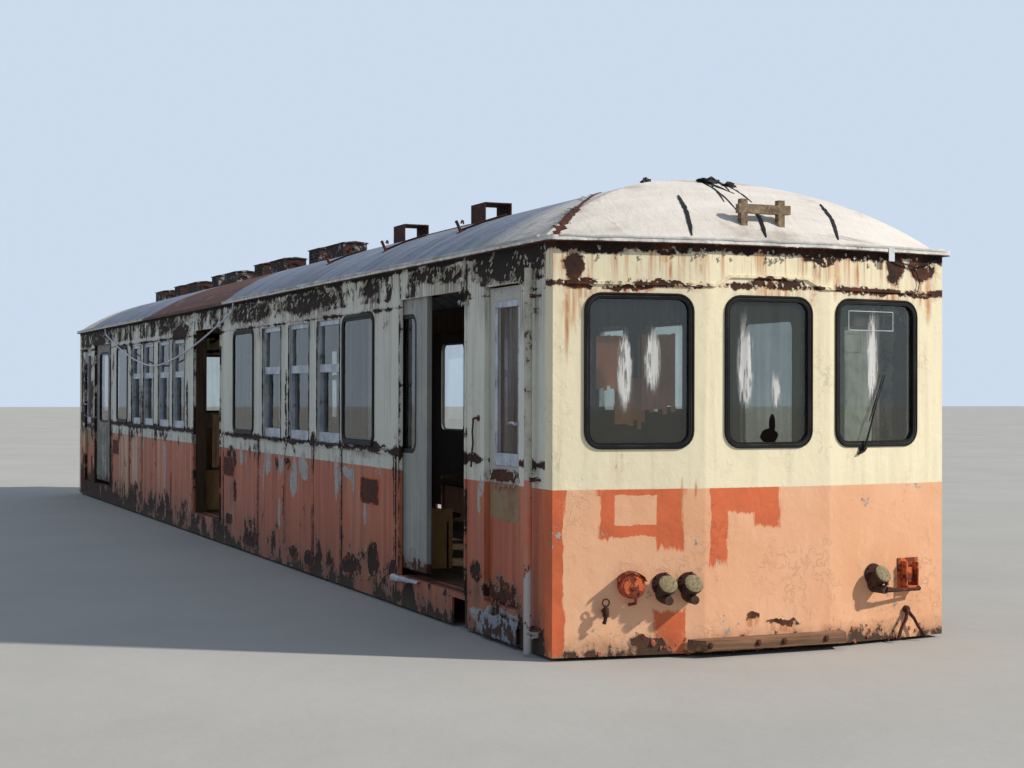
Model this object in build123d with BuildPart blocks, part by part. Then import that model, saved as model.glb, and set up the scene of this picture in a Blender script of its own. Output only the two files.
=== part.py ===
from build123d import *
from collections import namedtuple
from math import atan2, cos, hypot, radians, sin, sqrt, tan
import os

# The body of a double-ended electric railcar, grounded on its underframe.
# X runs along the car toward its front, Z is up, and zero height is the ground under the sills.
# Both sides are drawn in the same terms: "along" grows toward the end that a side calls its front,
# and the left side is the right side turned half way round the vertical axis.

# one side of the car, named stretch by stretch from its front corner back to its rear corner
front_cab = 1311
front_door = 1217
front_pocket_pier = 589.5
front_window_pier = 77.5
first_sash_pier = 219
second_sash_pier = 240
middle_window_pier = 326.5
middle_pocket_pier = 537.5
middle_door = 1156
closing_pier = 497
third_sash_pier = 176
fourth_sash_pier = 270
fifth_sash_pier = 153
rear_window_pier = 271.5
rear_pocket_pier = 484.5
rear_door = 1199
rear_cab = 1370
sash_width = 618
pocket_window_width = 745

# body shell
bow = 126
facet_half = 414
half_width = 1300
skirt_bottom = 20
floor_top = 225
floor_board = 35
band_top = 2112
eave = 2350
corner_radius = 80

# wall section, from outside in
skin = 14
lining = 15
wall_thick = 125
end_thick = 80
end_depth = 100

# roof
arch_rise = 434
roof_overhang = 10
roof_shell = 45
dome_rise = 480
dome_length = 1200
dome_sweep = 3600
dome_back = 900
dome_overhang = 35

# timbers over the doors
rail_deep = 50
joint_gap = 0.3

# gutter
gutter_drop = 36
gutter_lip = 30
gutter_reach = 45
gutter_sheet = 10

# side windows
sash_bottom = 1082
sash_top = 2041
sash_stile = 38
sash_bottom_rail = 82
sash_meeting_low = 1635
sash_meeting_high = 1698
sash_depth = 45
sash_set_back = 15
pocket_window_bottom = 1104
pocket_window_top = 2042
pocket_window_radius = 75
rubber_width = 28
rubber_depth = 44
rubber_proud = 7
pane = 6
fit = 0.3

# end windows
end_window_bottom = 1170
end_window_top = 2031
end_window_radius = 95
middle_window_width = 574
outer_window_width = 638
right_window_in = 503
left_window_in = 534.5

# beads and cover strips on the sheets
header_bead_z = 2072
header_bead_high = 16
header_bead_proud = 9
sill_bead_z = 1060
sill_bead_high = 22
sill_bead_proud = 12
seam_wide = 36
seam_proud = 3
jamb_sheet = 120
wide_pier = 400

# bead across the ends, stepped up over the middle window
end_bead_z = 2088
end_bead_step = 54
end_bead_high = 16
end_bead_proud = 11
end_bead_bend = 30
end_bead_run = 100
end_bead_raised = 506

# sliding doors
leaf_clear = 6
leaf_thick = 36
leaf_over_floor = 55
leaf_edge_gap = 6
leaf_overlap = 30
closing_stile = 225
trailing_stile = 304
leaf_window_bottom = 1085
leaf_window_top = 1990
leaf_window_radius = 70
front_door_opened = 745

# door tracks and hangers
track_under_rail = 102
track_deep = 20
track_thick = 12
track_strap = 6
track_strap_wide = 30
leaf_under_track = 44
roller_radius = 22
roller_from_edge = 170
running_gap = 5
hanger_thick = 6
hanger_width = 110
hanger_drop = 60

# crew doors
crew_from_end = 1000
crew_width = 530
crew_gap = 8
crew_thick = 36
crew_set_back = 34
crew_frame = 38
crew_light_from = 103
crew_light_to = 489
crew_light_bottom = 1045
crew_light_top = 2020
hinge_from_jamb = 12
hinge_set_back = 81
hinge_barrel = 9
hinge_pin = 5
hinge_running = 0.3
hinge_half = 30
hinge_cheek = 32
hinge_end_gap = 0.5
HINGE_HEIGHTS = [450, 1180, 1900]

# underframe
sole_width = 100
frame_top = floor_top - floor_board
centre_sill_inner = 140
centre_sill_outer = 220
bolster_from_end = 2728
bolster_length = 420
pin_radius = 55
bearer_length = 90
bearer_bottom = 60
bearer_pitch = 1900

# the right front step has lost the front stretch of its skirt
skirt_back = 110
skirt_missing = 224

Stretch = namedtuple("Stretch", "kind long")
SIDE_RUN = [
    Stretch("cab", front_cab),
    Stretch("door", front_door),
    Stretch("pier", front_pocket_pier),
    Stretch("pocket_window", pocket_window_width),
    Stretch("pier", front_window_pier),
    Stretch("sash", sash_width),
    Stretch("pier", first_sash_pier),
    Stretch("sash", sash_width),
    Stretch("pier", second_sash_pier),
    Stretch("sash", sash_width),
    Stretch("pier", middle_window_pier),
    Stretch("pocket_window", pocket_window_width),
    Stretch("pier", middle_pocket_pier),
    Stretch("door", middle_door),
    Stretch("pier", closing_pier),
    Stretch("sash", sash_width),
    Stretch("pier", third_sash_pier),
    Stretch("sash", sash_width),
    Stretch("pier", fourth_sash_pier),
    Stretch("sash", sash_width),
    Stretch("pier", fifth_sash_pier),
    Stretch("sash", sash_width),
    Stretch("pier", rear_window_pier),
    Stretch("pocket_window", pocket_window_width),
    Stretch("pier", rear_pocket_pier),
    Stretch("door", rear_door),
    Stretch("cab", rear_cab),
]
half_length = sum(stretch.long for stretch in SIDE_RUN) / 2
board_end = half_length - end_depth

# Where each stretch lies along the side, in the same order.
Panel = namedtuple("Panel", "low high")
found = {"cab": [], "door": [], "pier": [], "pocket_window": [], "sash": []}
edge = half_length
for stretch in SIDE_RUN:
    found[stretch.kind].append(Panel(edge - stretch.long, edge))
    edge = edge - stretch.long
SASHES = found["sash"]
POCKET_WINDOWS = found["pocket_window"]

# Each sliding door opens toward the pocket next to it.
Door = namedtuple("Door", "low high toward")
DOORS = [Door(panel.low, panel.high, toward) for panel, toward in zip(found["door"], (-1, 1, 1))]
front_pocket_end = (POCKET_WINDOWS[0].low + SASHES[0].high) / 2
middle_pocket_end = (POCKET_WINDOWS[1].high + SASHES[2].low) / 2
rear_pocket_end = (POCKET_WINDOWS[2].high + SASHES[6].low) / 2
BAYS = [Panel(DOORS[1].high, DOORS[0].low), Panel(DOORS[2].high, DOORS[1].low)]
CABS = [Panel(DOORS[0].high, board_end), Panel(-board_end, DOORS[2].low)]
POST_BANKS = [Panel(middle_pocket_end, front_pocket_end), Panel(rear_pocket_end, DOORS[1].low)]
POCKETS = [
    Panel(front_pocket_end, DOORS[0].low),
    Panel(DOORS[1].high, middle_pocket_end),
    Panel(DOORS[2].high, rear_pocket_end),
]
crew_from = half_length - crew_from_end
crew_to = crew_from + crew_width
CREW = [Panel(crew_from, crew_to), Panel(-crew_to, -crew_from)]

# Heights and distances out that follow from the sizes above.
inner_half = half_width - wall_thick
roof_half = half_width + roof_overhang
sash_height = sash_top - sash_bottom
sash_middle = (sash_top + sash_bottom) / 2
pocket_window_height = pocket_window_top - pocket_window_bottom
pocket_window_middle = (pocket_window_top + pocket_window_bottom) / 2
gutter_bottom = eave - gutter_drop
rail_bottom = eave - rail_deep
track_top = rail_bottom - track_under_rail
track_bottom = track_top - track_deep
leaf_top = track_bottom - leaf_under_track
leaf_bottom = floor_top + leaf_over_floor
leaf_back = half_width - skin - leaf_clear - leaf_thick
hanger_back = leaf_back - hanger_thick
track_back = hanger_back - running_gap - track_thick
crew_back = half_width - crew_set_back - crew_thick
hinge_out = half_width - hinge_set_back

Side = namedtuple("Side", "name hand plane")
SIDES = [
    Side("right", 1, Plane(origin=(0, 0, 0), x_dir=(1, 0, 0), z_dir=(0, -1, 0))),
    Side("left", -1, Plane(origin=(0, 0, 0), x_dir=(-1, 0, 0), z_dir=(0, 1, 0))),
]

os.makedirs("parts", exist_ok=True)


def save(part, name):
    part.label = name
    export_step(part, "parts/" + name + ".step")


def outward(side, distance):
    # A plane parallel to one side of the car, this far out from the middle.
    return side.plane.offset(distance)


def middle(panel):
    return (panel.low + panel.high) / 2


def length(panel):
    return panel.high - panel.low


def box_at(low, high, bottom, top):
    # The centre and size of a rectangle given by its edges.
    return ((low + high) / 2, (bottom + top) / 2), (high - low, top - bottom)


def place(side, along):
    # Which part of the car a spot on one side belongs to.
    x = side.hand * along
    return "middle" if abs(x) < half_length / 6 else ("front" if x > 0 else "rear")


# The plan of the body: straight sides and three facets at each end.
facet_length = hypot(bow, half_width - facet_half)
facet_x = bow / facet_length
facet_y = (half_width - facet_half) / facet_length
end_bead_lap = end_bead_proud * facet_x / (1 + facet_y)
inner_facet_x = half_length + bow - end_thick
inner_facet_half = facet_half - end_thick * (1 - facet_y) / facet_x
inner_corner_x = inner_facet_x - (inner_half - inner_facet_half) * facet_x / facet_y

with BuildSketch() as body_plan:
    with BuildLine():
        Polyline(
            (half_length, -half_width),
            (half_length + bow, -facet_half),
            (half_length + bow, facet_half),
            (half_length, half_width),
            (-half_length, half_width),
            (-half_length - bow, facet_half),
            (-half_length - bow, -facet_half),
            (-half_length, -half_width),
            close=True,
        )
    make_face()
    fillet(body_plan.vertices().group_by(SortBy.DISTANCE)[-1], radius=corner_radius)

with BuildSketch() as room_plan:
    with BuildLine():
        Polyline(
            (inner_corner_x, -inner_half),
            (inner_facet_x, -inner_facet_half),
            (inner_facet_x, inner_facet_half),
            (inner_corner_x, inner_half),
            (-inner_corner_x, inner_half),
            (-inner_facet_x, inner_facet_half),
            (-inner_facet_x, -inner_facet_half),
            (-inner_corner_x, -inner_half),
            close=True,
        )
    make_face()

# Planes of the three end facets, each with its own run from its right edge as seen from outside.
right_facet = Plane(
    origin=(half_length, -half_width, 0), x_dir=(facet_x, facet_y, 0), z_dir=(facet_y, -facet_x, 0)
)
middle_facet = Plane(origin=(half_length + bow, 0, 0), x_dir=(0, 1, 0), z_dir=(1, 0, 0))
left_facet = Plane(
    origin=(half_length, half_width, 0), x_dir=(-facet_x, facet_y, 0), z_dir=(facet_y, facet_x, 0)
)
end_window_height = end_window_top - end_window_bottom
end_window_z = (end_window_top + end_window_bottom) / 2
EndWindow = namedtuple("EndWindow", "plane along width")
END_WINDOWS = [
    EndWindow(right_facet, right_window_in, outer_window_width),
    EndWindow(middle_facet, 0, middle_window_width),
    EndWindow(left_facet, -left_window_in, outer_window_width),
]

# Underframe: sole bars, bowed end sills, a pair of centre sills, two bolsters and cross bearers.
with BuildPart() as underframe:
    with BuildSketch():
        add(room_plan.sketch)
        Rectangle(2 * (half_length - 2 * end_depth), 2 * (inner_half - sole_width), mode=Mode.SUBTRACT)
        for sill_side in (-1, 1):
            with Locations((0, sill_side * (centre_sill_inner + centre_sill_outer) / 2)):
                Rectangle(2 * half_length - 3 * end_depth, centre_sill_outer - centre_sill_inner)
        with Locations((half_length - bolster_from_end, 0), (bolster_from_end - half_length, 0)):
            Rectangle(bolster_length, 2 * inner_half - sole_width)
            Circle(pin_radius, mode=Mode.SUBTRACT)
    extrude(amount=frame_top)
    with BuildSketch(Plane.XY.offset(bearer_bottom)):
        with Locations(*[(bearer_pitch * step, 0) for step in (-2, -1, 0, 1, 2)]):
            Rectangle(bearer_length, 2 * inner_half - sole_width)
    extrude(amount=frame_top - bearer_bottom)
save(underframe.part, "underframe")

# Floor of boards.
with BuildPart() as floor_deck:
    with BuildSketch(Plane.XY.offset(frame_top)):
        add(room_plan.sketch)
    extrude(amount=floor_board)
save(floor_deck.part, "floor_deck")

# Steps: a threshold board through the wall at each sliding door, and the skirt sheet under it.
with BuildPart() as door_steps:
    for side in SIDES:
        for door in DOORS:
            broken = side.hand == 1 and door == DOORS[0]
            sheet_low = door.low - (skirt_back if broken else 0)
            sheet_high = door.high - (skirt_missing if broken else 0)
            with BuildSketch(outward(side, half_width)):
                centre, size = box_at(door.low, door.high, frame_top, floor_top)
                with Locations(centre):
                    Rectangle(*size)
            extrude(amount=-wall_thick)
            with BuildSketch(outward(side, half_width)):
                centre, size = box_at(sheet_low, sheet_high, skirt_bottom, floor_top)
                with Locations(centre):
                    Rectangle(*size)
            extrude(amount=-skin)
save(door_steps.part, "door_steps")


# End walls: three facets with rounded corners, the windows cut square to each facet. The beads lap
# over each other at the edges of the middle facet, so that they meet there in a mitre.
with BuildPart() as front_end:
    with BuildSketch(Plane.XY.offset(skirt_bottom)):
        add(body_plan.sketch)
        add(room_plan.sketch, mode=Mode.SUBTRACT)
        with Locations((-end_depth, 0)):
            Rectangle(2 * half_length, 4 * half_width, mode=Mode.SUBTRACT)
        with Locations((-2 * half_length, 0)):
            Rectangle(2 * half_length, 4 * half_width, mode=Mode.SUBTRACT)
    extrude(amount=eave - skirt_bottom)
    for window in END_WINDOWS:
        with BuildSketch(window.plane):
            with Locations((window.along, end_window_z)):
                RectangleRounded(window.width, end_window_height, end_window_radius)
        extrude(amount=-2 * end_thick, mode=Mode.SUBTRACT)
    for facet, toward in ((right_facet, 1), (left_facet, -1)):
        with BuildSketch(facet):
            with Locations((toward * (corner_radius + facet_length + end_bead_lap) / 2, end_bead_z)):
                Rectangle(facet_length + end_bead_lap - corner_radius, end_bead_high)
        extrude(amount=end_bead_proud)
    step_out = end_bead_raised / 2
    with BuildSketch(middle_facet):
        with BuildLine():
            FilletPolyline(
                (-facet_half - end_bead_lap, end_bead_z), (-step_out - end_bead_run, end_bead_z),
                (-step_out, end_bead_z + end_bead_step), (step_out, end_bead_z + end_bead_step),
                (step_out + end_bead_run, end_bead_z), (facet_half + end_bead_lap, end_bead_z),
                radius=end_bead_bend,
            )
        trace(line_width=end_bead_high)
    extrude(amount=end_bead_proud)
save(front_end.part, "front_end")

with BuildPart() as rear_end:
    add(front_end.part, rotation=(0, 0, 180))
save(rear_end.part, "rear_end")

# Cab side walls, from the end walls back to the outer sliding doors, with the crew doorways.
with BuildPart() as cab_side_walls:
    for side in SIDES:
        for panel in CABS:
            centre, size = box_at(panel.low, panel.high, skirt_bottom, band_top)
            with BuildSketch(outward(side, half_width)):
                with Locations(centre):
                    Rectangle(*size)
            extrude(amount=-wall_thick)
        for doorway in CREW:
            centre, size = box_at(doorway.low, doorway.high, floor_top, band_top)
            with BuildSketch(outward(side, half_width)):
                with Locations(centre):
                    Rectangle(*size)
            extrude(amount=-wall_thick, mode=Mode.SUBTRACT)
        for mirror in (1, -1):
            pin_x = side.hand * mirror * (crew_from + hinge_from_jamb)
            jamb_x = side.hand * mirror * (crew_from + hinge_from_jamb / 2)
            for hinge_z in HINGE_HEIGHTS:
                with BuildSketch(Plane.XY.offset(hinge_z - hinge_half - hinge_end_gap - hinge_cheek)):
                    with Locations((pin_x, -side.hand * hinge_out)):
                        Circle(hinge_pin)
                extrude(amount=2 * (hinge_half + hinge_end_gap + hinge_cheek))
                for cheek_z in (hinge_half + hinge_end_gap, -hinge_half - hinge_end_gap - hinge_cheek):
                    with BuildSketch(Plane.XY.offset(hinge_z + cheek_z)):
                        with Locations((pin_x, -side.hand * hinge_out)):
                            Circle(hinge_barrel)
                        with Locations((jamb_x, -side.hand * hinge_out)):
                            Rectangle(hinge_from_jamb, 2 * hinge_barrel)
                    extrude(amount=hinge_cheek)
save(cab_side_walls.part, "cab_side_walls")

# Outer side walls between the sliding doors, cut for the sash and pocket windows. A bead runs over
# the windows and another under them, and cover strips hide the joints of the sheets below.
SEAMS = [middle(panel) for panel in found["pier"] if length(panel) < wide_pier]
for panel in BAYS:
    SEAMS += [panel.low + jamb_sheet, panel.high - jamb_sheet]
seam_top = sill_bead_z - sill_bead_high / 2
with BuildPart() as side_walls:
    for side in SIDES:
        for panel in BAYS:
            centre, size = box_at(panel.low, panel.high, skirt_bottom, band_top)
            with BuildSketch(outward(side, half_width)):
                with Locations(centre):
                    Rectangle(*size)
            extrude(amount=-skin)
        if side.hand == 1:
            with BuildSketch(outward(side, half_width)):
                centre, size = box_at(DOORS[0].low - skirt_back, DOORS[0].low, skirt_bottom, floor_top)
                with Locations(centre):
                    Rectangle(*size)
            extrude(amount=-skin, mode=Mode.SUBTRACT)
        with BuildSketch(outward(side, half_width)):
            for panel in BAYS:
                with Locations((middle(panel), header_bead_z)):
                    Rectangle(length(panel), header_bead_high)
        extrude(amount=header_bead_proud)
        with BuildSketch(outward(side, half_width)):
            for panel in BAYS:
                with Locations((middle(panel), sill_bead_z)):
                    Rectangle(length(panel), sill_bead_high)
        extrude(amount=sill_bead_proud)
        with BuildSketch(outward(side, half_width)):
            with Locations(*[(seam, (seam_top + floor_top) / 2) for seam in SEAMS]):
                Rectangle(seam_wide, seam_top - floor_top)
        extrude(amount=seam_proud)
        with BuildSketch(outward(side, half_width)):
            with Locations(*[(middle(panel), sash_middle) for panel in SASHES]):
                Rectangle(sash_width, sash_height)
            with Locations(*[(middle(panel), pocket_window_middle) for panel in POCKET_WINDOWS]):
                RectangleRounded(pocket_window_width, pocket_window_height, pocket_window_radius)
        extrude(amount=-skin, mode=Mode.SUBTRACT)
save(side_walls.part, "side_walls")

# Window posts: the inner half of the wall between one door pocket and the next.
with BuildPart() as window_posts:
    for side in SIDES:
        for panel in POST_BANKS:
            centre, size = box_at(panel.low, panel.high, frame_top, band_top)
            with BuildSketch(outward(side, half_width - skin)):
                with Locations(centre):
                    Rectangle(*size)
            extrude(amount=skin - wall_thick)
        with BuildSketch(outward(side, half_width - skin)):
            with Locations(*[(middle(panel), sash_middle) for panel in SASHES]):
                Rectangle(sash_width, sash_height)
        extrude(amount=skin - wall_thick, mode=Mode.SUBTRACT)
save(window_posts.part, "window_posts")

# Inner linings: thin panels that close the door pockets, and headers that close the track space.
with BuildPart() as inner_linings:
    for side in SIDES:
        for panel in POCKETS:
            centre, size = box_at(panel.low, panel.high, frame_top, band_top - joint_gap)
            with BuildSketch(outward(side, inner_half + lining)):
                with Locations(centre):
                    Rectangle(*size)
            extrude(amount=-lining)
        with BuildSketch(outward(side, inner_half + lining)):
            with Locations(*[(middle(panel), pocket_window_middle) for panel in POCKET_WINDOWS]):
                RectangleRounded(pocket_window_width, pocket_window_height, pocket_window_radius)
        extrude(amount=-lining, mode=Mode.SUBTRACT)
        with BuildSketch(outward(side, inner_half + lining)):
            centre, size = box_at(-board_end, board_end, band_top, rail_bottom)
            with Locations(centre):
                Rectangle(*size)
        extrude(amount=-lining)
save(inner_linings.part, "inner_linings")

# Letterboards over the windows and doors, full length of the straight sides.
with BuildPart() as letterboards:
    for side in SIDES:
        with BuildSketch(outward(side, half_width)):
            centre, size = box_at(-board_end, board_end, band_top, eave)
            with Locations(centre):
                Rectangle(*size)
        extrude(amount=-skin)
save(letterboards.part, "letterboards")

# Cantrails: the long timbers inside the letterboards that carry the roof and the door tracks.
with BuildPart() as cantrails:
    for side in SIDES:
        with BuildSketch(outward(side, half_width - skin)):
            centre, size = box_at(-board_end, board_end, rail_bottom, eave)
            with Locations(centre):
                Rectangle(*size)
        extrude(amount=skin - wall_thick)
save(cantrails.part, "cantrails")

# Roof: one barrel arch, mitred at each end into a dome whose slope is swung round an upright axis.
arch_radius = (roof_half ** 2 + arch_rise ** 2) / (2 * arch_rise)
arch_centre = eave + arch_rise - arch_radius
arch_top = eave + arch_rise
hollow_radius = arch_radius - roof_shell
hollow_half = sqrt(hollow_radius ** 2 - (eave - arch_centre) ** 2)
dome_radius = (dome_length ** 2 + dome_rise ** 2) / (2 * dome_rise)
dome_front = half_length + bow + dome_overhang
dome_axis_x = dome_front - dome_sweep
dome_apex = dome_sweep - dome_length
dome_centre = eave + dome_rise - dome_radius
dome_hollow_radius = dome_radius - roof_shell
dome_hollow_foot = dome_apex + sqrt(dome_hollow_radius ** 2 - (eave - dome_centre) ** 2)
dome_joint = half_length - dome_back
dome_axis = Axis((dome_axis_x, 0, 0), (0, 0, 1))
dome_plane = Plane(origin=(dome_axis_x, 0, 0), x_dir=(1, 0, 0), z_dir=(0, -1, 0))

with BuildSketch(Plane.YZ) as arch_face:
    with BuildLine():
        ThreePointArc((-roof_half, eave), (0, arch_top), (roof_half, eave))
        Line((roof_half, eave), (-roof_half, eave))
    make_face()
with BuildSketch(Plane.YZ) as arch_hollow:
    with BuildLine():
        ThreePointArc((-hollow_half, eave), (0, arch_top - roof_shell), (hollow_half, eave))
        Line((hollow_half, eave), (-hollow_half, eave))
    make_face()

with BuildPart() as roof_main:
    with BuildSketch(Plane.YZ):
        add(arch_face.sketch_local)
        add(arch_hollow.sketch_local, mode=Mode.SUBTRACT)
    extrude(amount=dome_joint, both=True)
save(roof_main.part, "roof_main")

with BuildPart() as dome_hollow:
    with BuildSketch(Plane.YZ.offset(dome_joint)):
        add(arch_hollow.sketch_local)
    extrude(amount=dome_front - dome_joint)
    with BuildSketch(dome_plane):
        with BuildLine():
            Line((0, eave), (dome_hollow_foot, eave))
            RadiusArc(
                (dome_hollow_foot, eave), (dome_apex, dome_centre + dome_hollow_radius), -dome_hollow_radius
            )
            Polyline(
                (dome_apex, dome_centre + dome_hollow_radius), (0, dome_centre + dome_hollow_radius),
                (0, eave),
            )
        make_face()
    revolve(axis=dome_axis, mode=Mode.INTERSECT)

with BuildPart() as dome_solid:
    with BuildSketch(Plane.YZ.offset(dome_joint)):
        add(arch_face.sketch_local)
    extrude(amount=dome_front - dome_joint)
    with BuildSketch(dome_plane):
        with BuildLine():
            Line((0, eave), (dome_sweep, eave))
            RadiusArc((dome_sweep, eave), (dome_apex, eave + dome_rise), -dome_radius)
            Polyline((dome_apex, eave + dome_rise), (0, eave + dome_rise), (0, eave))
        make_face()
    revolve(axis=dome_axis, mode=Mode.INTERSECT)

with BuildPart() as roof_domes:
    add(dome_solid.part)
    add(dome_hollow.part, mode=Mode.SUBTRACT)
    add(roof_domes.part, rotation=(0, 0, 180))
save(roof_domes.part, "roof_domes")

# Gutter: a ledge under the eave with an upturned lip, all the way round.
with BuildPart() as gutter:
    with BuildSketch(Plane.XY.offset(gutter_bottom)):
        add(body_plan.sketch)
        offset(amount=gutter_reach)
        add(body_plan.sketch, mode=Mode.SUBTRACT)
    extrude(amount=gutter_lip)
    with BuildSketch(Plane.XY.offset(gutter_bottom + gutter_sheet)):
        add(body_plan.sketch)
        offset(amount=gutter_reach - gutter_sheet)
        add(body_plan.sketch, mode=Mode.SUBTRACT)
    extrude(amount=gutter_lip, mode=Mode.SUBTRACT)
save(gutter.part, "gutter")

# Rubbers round the end windows and pocket windows: rounded rings that stand a little proud.
side_rubber_depth = rubber_proud + skin
with BuildPart() as window_rubbers:
    for window in END_WINDOWS:
        with BuildSketch(window.plane.offset(rubber_proud)):
            with Locations((window.along, end_window_z)):
                RectangleRounded(
                    window.width - 2 * fit, end_window_height - 2 * fit, end_window_radius - fit
                )
                RectangleRounded(
                    window.width - 2 * rubber_width, end_window_height - 2 * rubber_width,
                    end_window_radius - rubber_width, mode=Mode.SUBTRACT,
                )
        extrude(amount=-rubber_depth)
    add(window_rubbers.part, rotation=(0, 0, 180))
    for side in SIDES:
        with BuildSketch(outward(side, half_width + rubber_proud)):
            with Locations(*[(middle(panel), pocket_window_middle) for panel in POCKET_WINDOWS]):
                RectangleRounded(
                    pocket_window_width - 2 * fit, pocket_window_height - 2 * fit,
                    pocket_window_radius - fit,
                )
                RectangleRounded(
                    pocket_window_width - 2 * rubber_width, pocket_window_height - 2 * rubber_width,
                    pocket_window_radius - rubber_width, mode=Mode.SUBTRACT,
                )
        extrude(amount=-side_rubber_depth)
save(window_rubbers.part, "window_rubbers")

# Sash frames: one aluminium frame to each side window, with a meeting rail across it.
upper_light = sash_top - sash_stile - sash_meeting_high
lower_light = sash_meeting_low - sash_bottom - sash_bottom_rail
upper_light_middle = (sash_top - sash_stile + sash_meeting_high) / 2
lower_light_middle = (sash_meeting_low + sash_bottom + sash_bottom_rail) / 2
light_width = sash_width - 2 * sash_stile
with BuildPart() as sash_frames:
    for side in SIDES:
        with BuildSketch(outward(side, half_width - sash_set_back)):
            with Locations(*[(middle(panel), sash_middle) for panel in SASHES]):
                Rectangle(sash_width - 2 * fit, sash_height - 2 * fit)
            with Locations(*[(middle(panel), upper_light_middle) for panel in SASHES]):
                Rectangle(light_width, upper_light, mode=Mode.SUBTRACT)
            with Locations(*[(middle(panel), lower_light_middle) for panel in SASHES]):
                Rectangle(light_width, lower_light, mode=Mode.SUBTRACT)
        extrude(amount=-sash_depth)
save(sash_frames.part, "sash_frames")

# Fixed glass: end windows, pocket windows and both lights of every sash.
glass_inset = rubber_proud - rubber_depth / 2 + pane / 2
side_glass_inset = rubber_proud - side_rubber_depth / 2 + pane / 2
with BuildPart() as window_glass:
    for window in END_WINDOWS:
        with BuildSketch(window.plane.offset(glass_inset)):
            with Locations((window.along, end_window_z)):
                RectangleRounded(
                    window.width - 2 * rubber_width - 2 * fit,
                    end_window_height - 2 * rubber_width - 2 * fit,
                    end_window_radius - rubber_width - fit,
                )
        extrude(amount=-pane)
    add(window_glass.part, rotation=(0, 0, 180))
    for side in SIDES:
        with BuildSketch(outward(side, half_width + side_glass_inset)):
            with Locations(*[(middle(panel), pocket_window_middle) for panel in POCKET_WINDOWS]):
                RectangleRounded(
                    pocket_window_width - 2 * rubber_width - 2 * fit,
                    pocket_window_height - 2 * rubber_width - 2 * fit,
                    pocket_window_radius - rubber_width - fit,
                )
        extrude(amount=-pane)
        with BuildSketch(outward(side, half_width - sash_set_back - sash_depth / 3)):
            with Locations(*[(middle(panel), upper_light_middle) for panel in SASHES]):
                Rectangle(light_width - 2 * fit, upper_light - 2 * fit)
        extrude(amount=-pane)
        with BuildSketch(outward(side, half_width - sash_set_back - 2 * sash_depth / 3)):
            with Locations(*[(middle(panel), lower_light_middle) for panel in SASHES]):
                Rectangle(light_width - 2 * fit, lower_light - 2 * fit)
        extrude(amount=-pane)
save(window_glass.part, "window_glass")

# Door tracks: a flat bar over each sliding door and its pocket, on hangers from the cantrail.
with BuildPart() as door_tracks:
    for side in SIDES:
        for door in DOORS:
            reach = length(door) + leaf_overlap
            low = door.low - (reach if door.toward < 0 else 0)
            high = door.high + (reach if door.toward > 0 else 0)
            with BuildSketch(outward(side, track_back + track_thick)):
                centre, size = box_at(low, high, track_bottom, track_top)
                with Locations(centre):
                    Rectangle(*size)
            extrude(amount=-track_thick)
            with BuildSketch(outward(side, track_back)):
                for u in (low + track_strap_wide, (low + high) / 2, high - track_strap_wide):
                    with Locations((u, (track_bottom + rail_bottom) / 2)):
                        Rectangle(track_strap_wide, rail_bottom - track_bottom)
            extrude(amount=-track_strap)
save(door_tracks.part, "door_tracks")

# Sliding doors: a panelled leaf with a rounded window, hung on two rollers from the track.
# Each stands as it stands now: the front right one is a little over half open.
Leaf = namedtuple("Leaf", "side door opened")
LEAVES = [
    Leaf(SIDES[0], DOORS[0], front_door_opened),
    Leaf(SIDES[0], DOORS[2], 0),
    Leaf(SIDES[1], DOORS[0], 0),
    Leaf(SIDES[1], DOORS[1], 0),
    Leaf(SIDES[1], DOORS[2], 0),
]
leaf_window_height = leaf_window_top - leaf_window_bottom
leaf_window_middle = (leaf_window_top + leaf_window_bottom) / 2
hanger_foot = leaf_top - hanger_drop
hanger_head = track_top + 2 * roller_radius
hanger_middle = (hanger_foot + hanger_head) / 2
for leaf in LEAVES:
    door = leaf.door
    label = "sliding_door_" + leaf.side.name + "_" + place(leaf.side, middle(door))
    width = length(door) - leaf_edge_gap + leaf_overlap
    closing_edge = (door.high - leaf_edge_gap if door.toward < 0 else door.low + leaf_edge_gap)
    closing_edge = closing_edge + door.toward * leaf.opened
    centre_u = closing_edge + door.toward * width / 2
    window_width = width - closing_stile - trailing_stile
    window_u = closing_edge + door.toward * (closing_stile + window_width / 2)
    rollers = (centre_u - width / 2 + roller_from_edge, centre_u + width / 2 - roller_from_edge)
    with BuildPart() as sliding_door:
        with BuildSketch(outward(leaf.side, leaf_back + leaf_thick)):
            with Locations((centre_u, (leaf_bottom + leaf_top) / 2)):
                Rectangle(width, leaf_top - leaf_bottom)
            with Locations((window_u, leaf_window_middle)):
                RectangleRounded(window_width, leaf_window_height, leaf_window_radius, mode=Mode.SUBTRACT)
        extrude(amount=-leaf_thick)
        with BuildSketch(outward(leaf.side, hanger_back + hanger_thick)):
            with Locations(*[(u, hanger_middle) for u in rollers]):
                Rectangle(hanger_width, hanger_head - hanger_foot)
        extrude(amount=-hanger_thick)
        with BuildSketch(outward(leaf.side, hanger_back)):
            with Locations(*[(u, track_top + roller_radius + fit) for u in rollers]):
                Circle(roller_radius)
        extrude(amount=-track_thick)
    save(sliding_door.part, label)
    with BuildPart() as door_glass:
        with BuildSketch(outward(leaf.side, leaf_back + leaf_thick / 2 + pane / 2)):
            with Locations((window_u, leaf_window_middle)):
                RectangleRounded(
                    window_width - 2 * fit, leaf_window_height - 2 * fit, leaf_window_radius - fit
                )
        extrude(amount=-pane)
    save(door_glass.part, label.replace("door", "door_glass"))

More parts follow.
